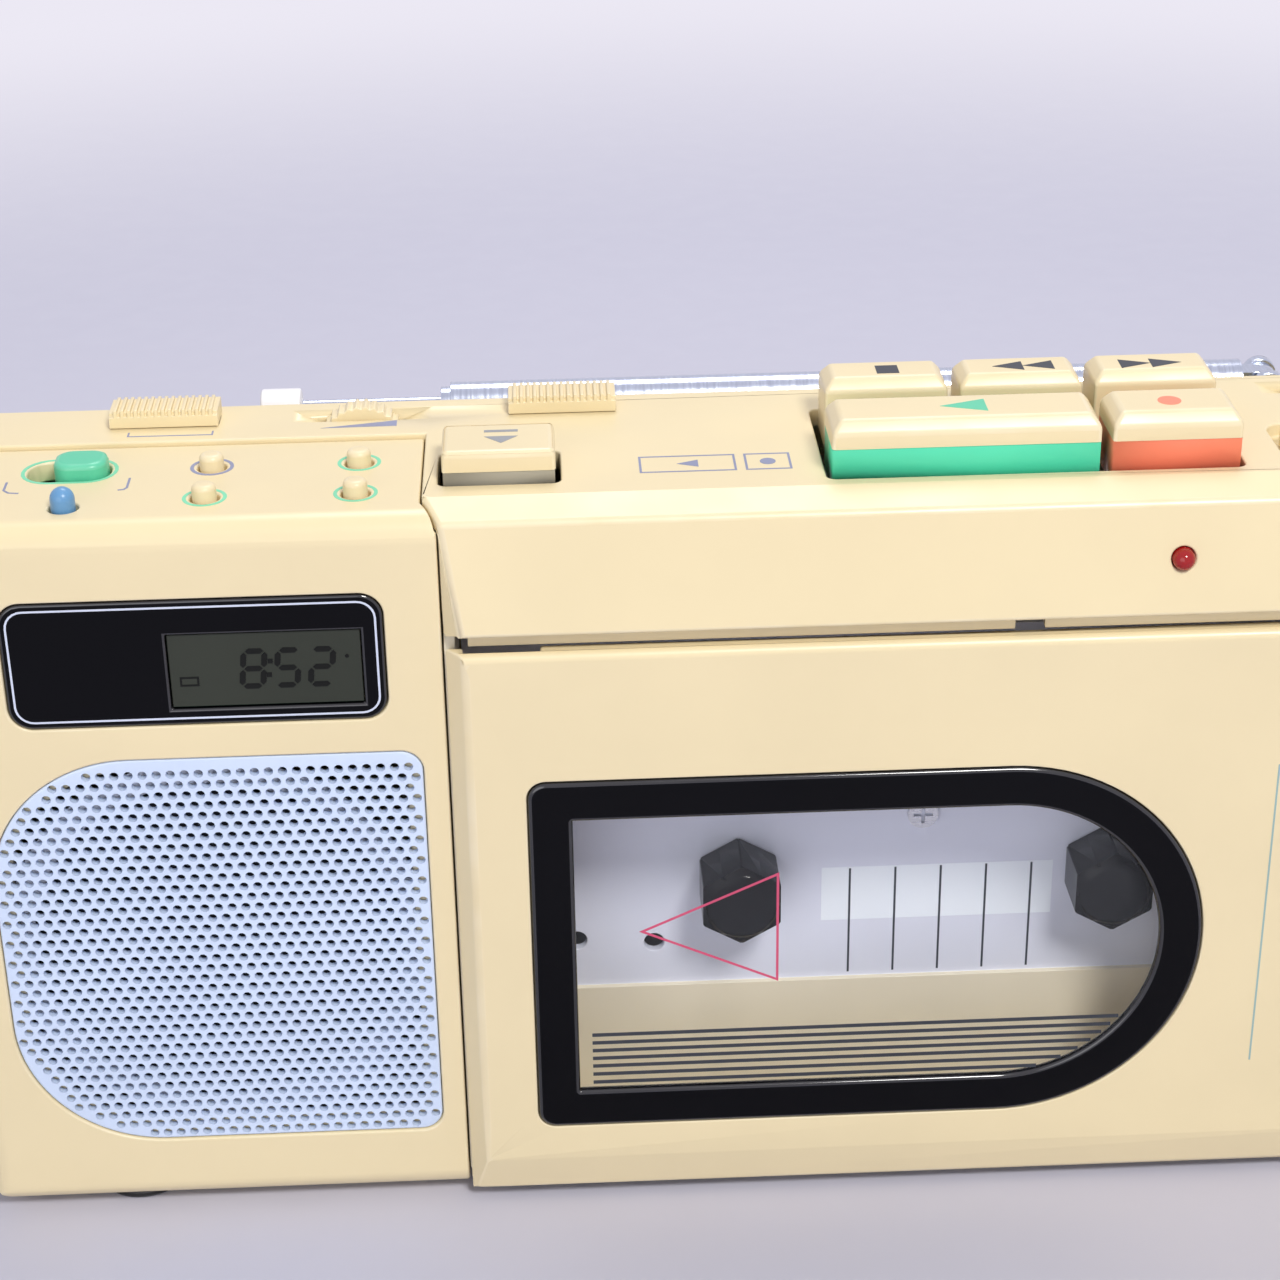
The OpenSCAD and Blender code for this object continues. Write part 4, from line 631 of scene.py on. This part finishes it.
RING, RING_LINE = 2.15, 0.4
mint = []
for x, y in ((-77.7, -12.7), (-61.9, -4.4), (-61.9, -12.7)):
    mint += ring(x, y, RING, RING_LINE)
mint += stroke(rounded_box(-97.9, -7.6, -87.9, -1.2, 3.1), RING_LINE)
printed("clock_rings", mint, on_top(CLOCK_TOP), "ink_mint", "cabinet")
brackets = stroke([(-99.2, -7.0), (-99.2, -9.2), (-98.6, -9.9), (-97.5, -10.1)], 0.25, closed=False)
brackets += stroke([(-86.2, -6.8), (-86.2, -9.4), (-86.5, -9.9), (-87.1, -10.0)], 0.25, closed=False)
printed("timer_brackets", brackets, on_top(CLOCK_TOP), "ink", "cabinet")
printed("clock_ring", ring(-77.7, -4.4, RING, RING_LINE), on_top(CLOCK_TOP), "ink", "cabinet")


# Tuning scale with plain numbers

DIAL_X, DIAL_Z, DIAL_SPAN = 79.4, 46.0, 20.0    # middle of the scale and half its height
NUMERAL = 4.2
NUMBER_STEP = 0.4                               # between two numbers, as a share of DIAL_SPAN
TICKS, TICK_HALF = 21, 0.15


def numbers(name, texts, x, ink):
    """A column of plain numerals down the dial scale."""
    for index, text in enumerate(texts):
        z = DIAL_Z + (1 - NUMBER_STEP * index) * DIAL_SPAN
        curve = bpy.data.curves.new(f"{name}.{index}", "FONT")
        curve.body = text
        curve.size = NUMERAL * MM
        curve.extrude = INK * MM
        curve.align_x = "CENTER"
        curve.align_y = "CENTER"
        holder = bpy.data.objects.new("numeral", curve)
        bpy.context.scene.collection.objects.link(holder)
        depsgraph = bpy.context.evaluated_depsgraph_get()
        mesh = bpy.data.meshes.new_from_object(holder.evaluated_get(depsgraph))
        bpy.data.objects.remove(holder)
        upright = Matrix.Rotation(math.pi / 2, 4, "X")
        mesh.transform(Matrix.Translation(Vector((x, SCALE, z)) * MM) @ upright)
        mesh.materials.clear()
        mesh.materials.append(M[ink])
        finish_piece(bpy.data.objects.new(f"{name}.{index}", mesh), "cabinet")


numbers("fm_number", ("108", "104", "100", "96", "92", "88"), DIAL_X - 5.6, "ink_white")
numbers("am_number", ("160", "130", "100", "80", "60", "53"), DIAL_X + 9.4, "ink_mint")
ticks = []
for step in range(TICKS):
    z = DIAL_Z + (2 * step / (TICKS - 1) - 1) * DIAL_SPAN
    reach = 3.0 if step % 4 == 0 else 1.8
    left, right = DIAL_X + 1.9, DIAL_X + 2.5
    ticks.append(rectangle(left - reach, z - TICK_HALF, left, z + TICK_HALF))
    ticks.append(rectangle(right, z - TICK_HALF, right + reach, z + TICK_HALF))
printed("dial_ticks", ticks, on_front(SCALE), "ink_white", "cabinet")


# Studio: wide pale floor, soft lights, the photograph's camera

PALE = linear(236, 233, 244)      # the background far from the set
FLOOR_RADIUS = 12.0               # in metres, as the next line
FADE = (0.32, 0.60)               # where the floor goes over into the background


def background_rays(tree):
    """1 for rays that show the background: from the camera, off a mirror or through glass."""
    rays = tree.nodes.new("ShaderNodeLightPath").outputs
    reflected = computed(tree, "MAXIMUM", rays["Is Camera Ray"], rays["Is Glossy Ray"])
    return computed(tree, "MAXIMUM", reflected, rays["Is Transmission Ray"])


def floor_material():
    """Paper that takes the set's shadow and fades into the pale background further out."""
    material = surface("stage_sheet", linear(198, 197, 212), 0.6, 0.01, grain=40, wear_and_highlight=0.0, patch=3)
    tree = material.node_tree
    place = tree.nodes.new("ShaderNodeTexCoord")
    distance = tree.nodes.new("ShaderNodeVectorMath")
    distance.operation = "LENGTH"
    tree.links.new(place.outputs["Object"], distance.inputs[0])
    fade = tree.nodes.new("ShaderNodeMapRange")
    fade.interpolation_type = "SMOOTHSTEP"
    fade.inputs["From Min"].default_value, fade.inputs["From Max"].default_value = FADE
    tree.links.new(distance.outputs["Value"], fade.inputs["Value"])
    share = computed(tree, "MULTIPLY", fade.outputs[0], background_rays(tree))
    glow = tree.nodes.new("ShaderNodeEmission")
    glow.inputs["Color"].default_value = PALE
    paper = tree.nodes["Principled BSDF"].outputs[0]
    both = blended(tree, share, paper, glow.outputs[0])
    tree.links.new(both, tree.nodes["Material Output"].inputs["Surface"])
    return material


def floor_stage():
    """A flat round floor that reaches the horizon from every side."""
    rim = [(x, y, 0) for x, y in circle(0, 0, FLOOR_RADIUS, 96)]
    mesh = bpy.data.meshes.new("stage_floor")
    mesh.from_pydata(rim, [], [tuple(range(len(rim)))])
    mesh.materials.append(floor_material())
    stage = bpy.data.objects.new("stage_floor", mesh)
    bpy.context.scene.collection.objects.link(stage)


def studio_world():
    """Soft light from all round, with the pale background behind it."""
    world = bpy.data.worlds.new("studio")
    world.use_nodes = True
    tree = world.node_tree
    light = tree.nodes["Background"]
    light.inputs["Color"].default_value = (0.86, 0.87, 0.95, 1)
    light.inputs["Strength"].default_value = 0.40
    pale = tree.nodes.new("ShaderNodeBackground")
    pale.inputs["Color"].default_value = PALE
    both = blended(tree, background_rays(tree), light.outputs[0], pale.outputs[0])
    tree.links.new(both, tree.nodes["World Output"].inputs["Surface"])
    bpy.context.scene.world = world


def softbox(name, place, target, size, power, colour):
    """A round area light at a place, turned to a target."""
    light = bpy.data.lights.new(name, "AREA")
    light.shape = "DISK"
    light.size = size
    light.energy = power
    light.color = colour
    holder = bpy.data.objects.new(name, light)
    holder.location = place
    holder.rotation_euler = (Vector(target) - Vector(place)).to_track_quat("-Z", "Y").to_euler()
    bpy.context.scene.collection.objects.link(holder)


floor_stage()
studio_world()
softbox("key_light", (0.22, -0.63, 0.80), (-0.03, 0, 0.05), 0.26, 6.7, (1.0, 0.985, 0.95))
softbox("fill_light", (-0.5, -0.95, 0.3), (0, 0, 0.05), 0.9, 3.0, (0.97, 0.98, 1.0))
softbox("back_light", (0.0, 0.40, 0.75), (0, 0.42, 0.0), 0.4, 2.7, (0.98, 0.97, 1.0))

# Fitted to the photograph: focal length in picture widths, turns about X, Y and Z, and place in mm
FOCAL = 2700 / 1280
CAMERA_TURN = (26.36532949, -1.91239753, -1.88004615)
CAMERA_PLACE = (-42.024, -274.792, 198.074)


def photo_camera():
    """The photograph's camera. Its fit has the picture's Y pointing down and Z pointing away."""
    data = bpy.data.cameras.new("camera")
    data.lens = data.sensor_width * FOCAL
    data.clip_start = 0.01
    about_x, about_y, about_z = (Matrix.Rotation(math.radians(angle), 3, axis)
                                 for angle, axis in zip(CAMERA_TURN, "XYZ"))
    level = Matrix(((1, 0, 0), (0, 0, -1), (0, 1, 0)))
    flip = Matrix.Diagonal((1, -1, -1))
    turn = (flip @ about_z @ about_y @ about_x @ level).transposed().to_4x4()
    camera = bpy.data.objects.new("camera", data)
    camera.matrix_world = Matrix.Translation(Vector(CAMERA_PLACE) * MM) @ turn
    bpy.context.scene.collection.objects.link(camera)
    bpy.context.scene.camera = camera


photo_camera()
bpy.context.scene.view_settings.view_transform = "Standard"
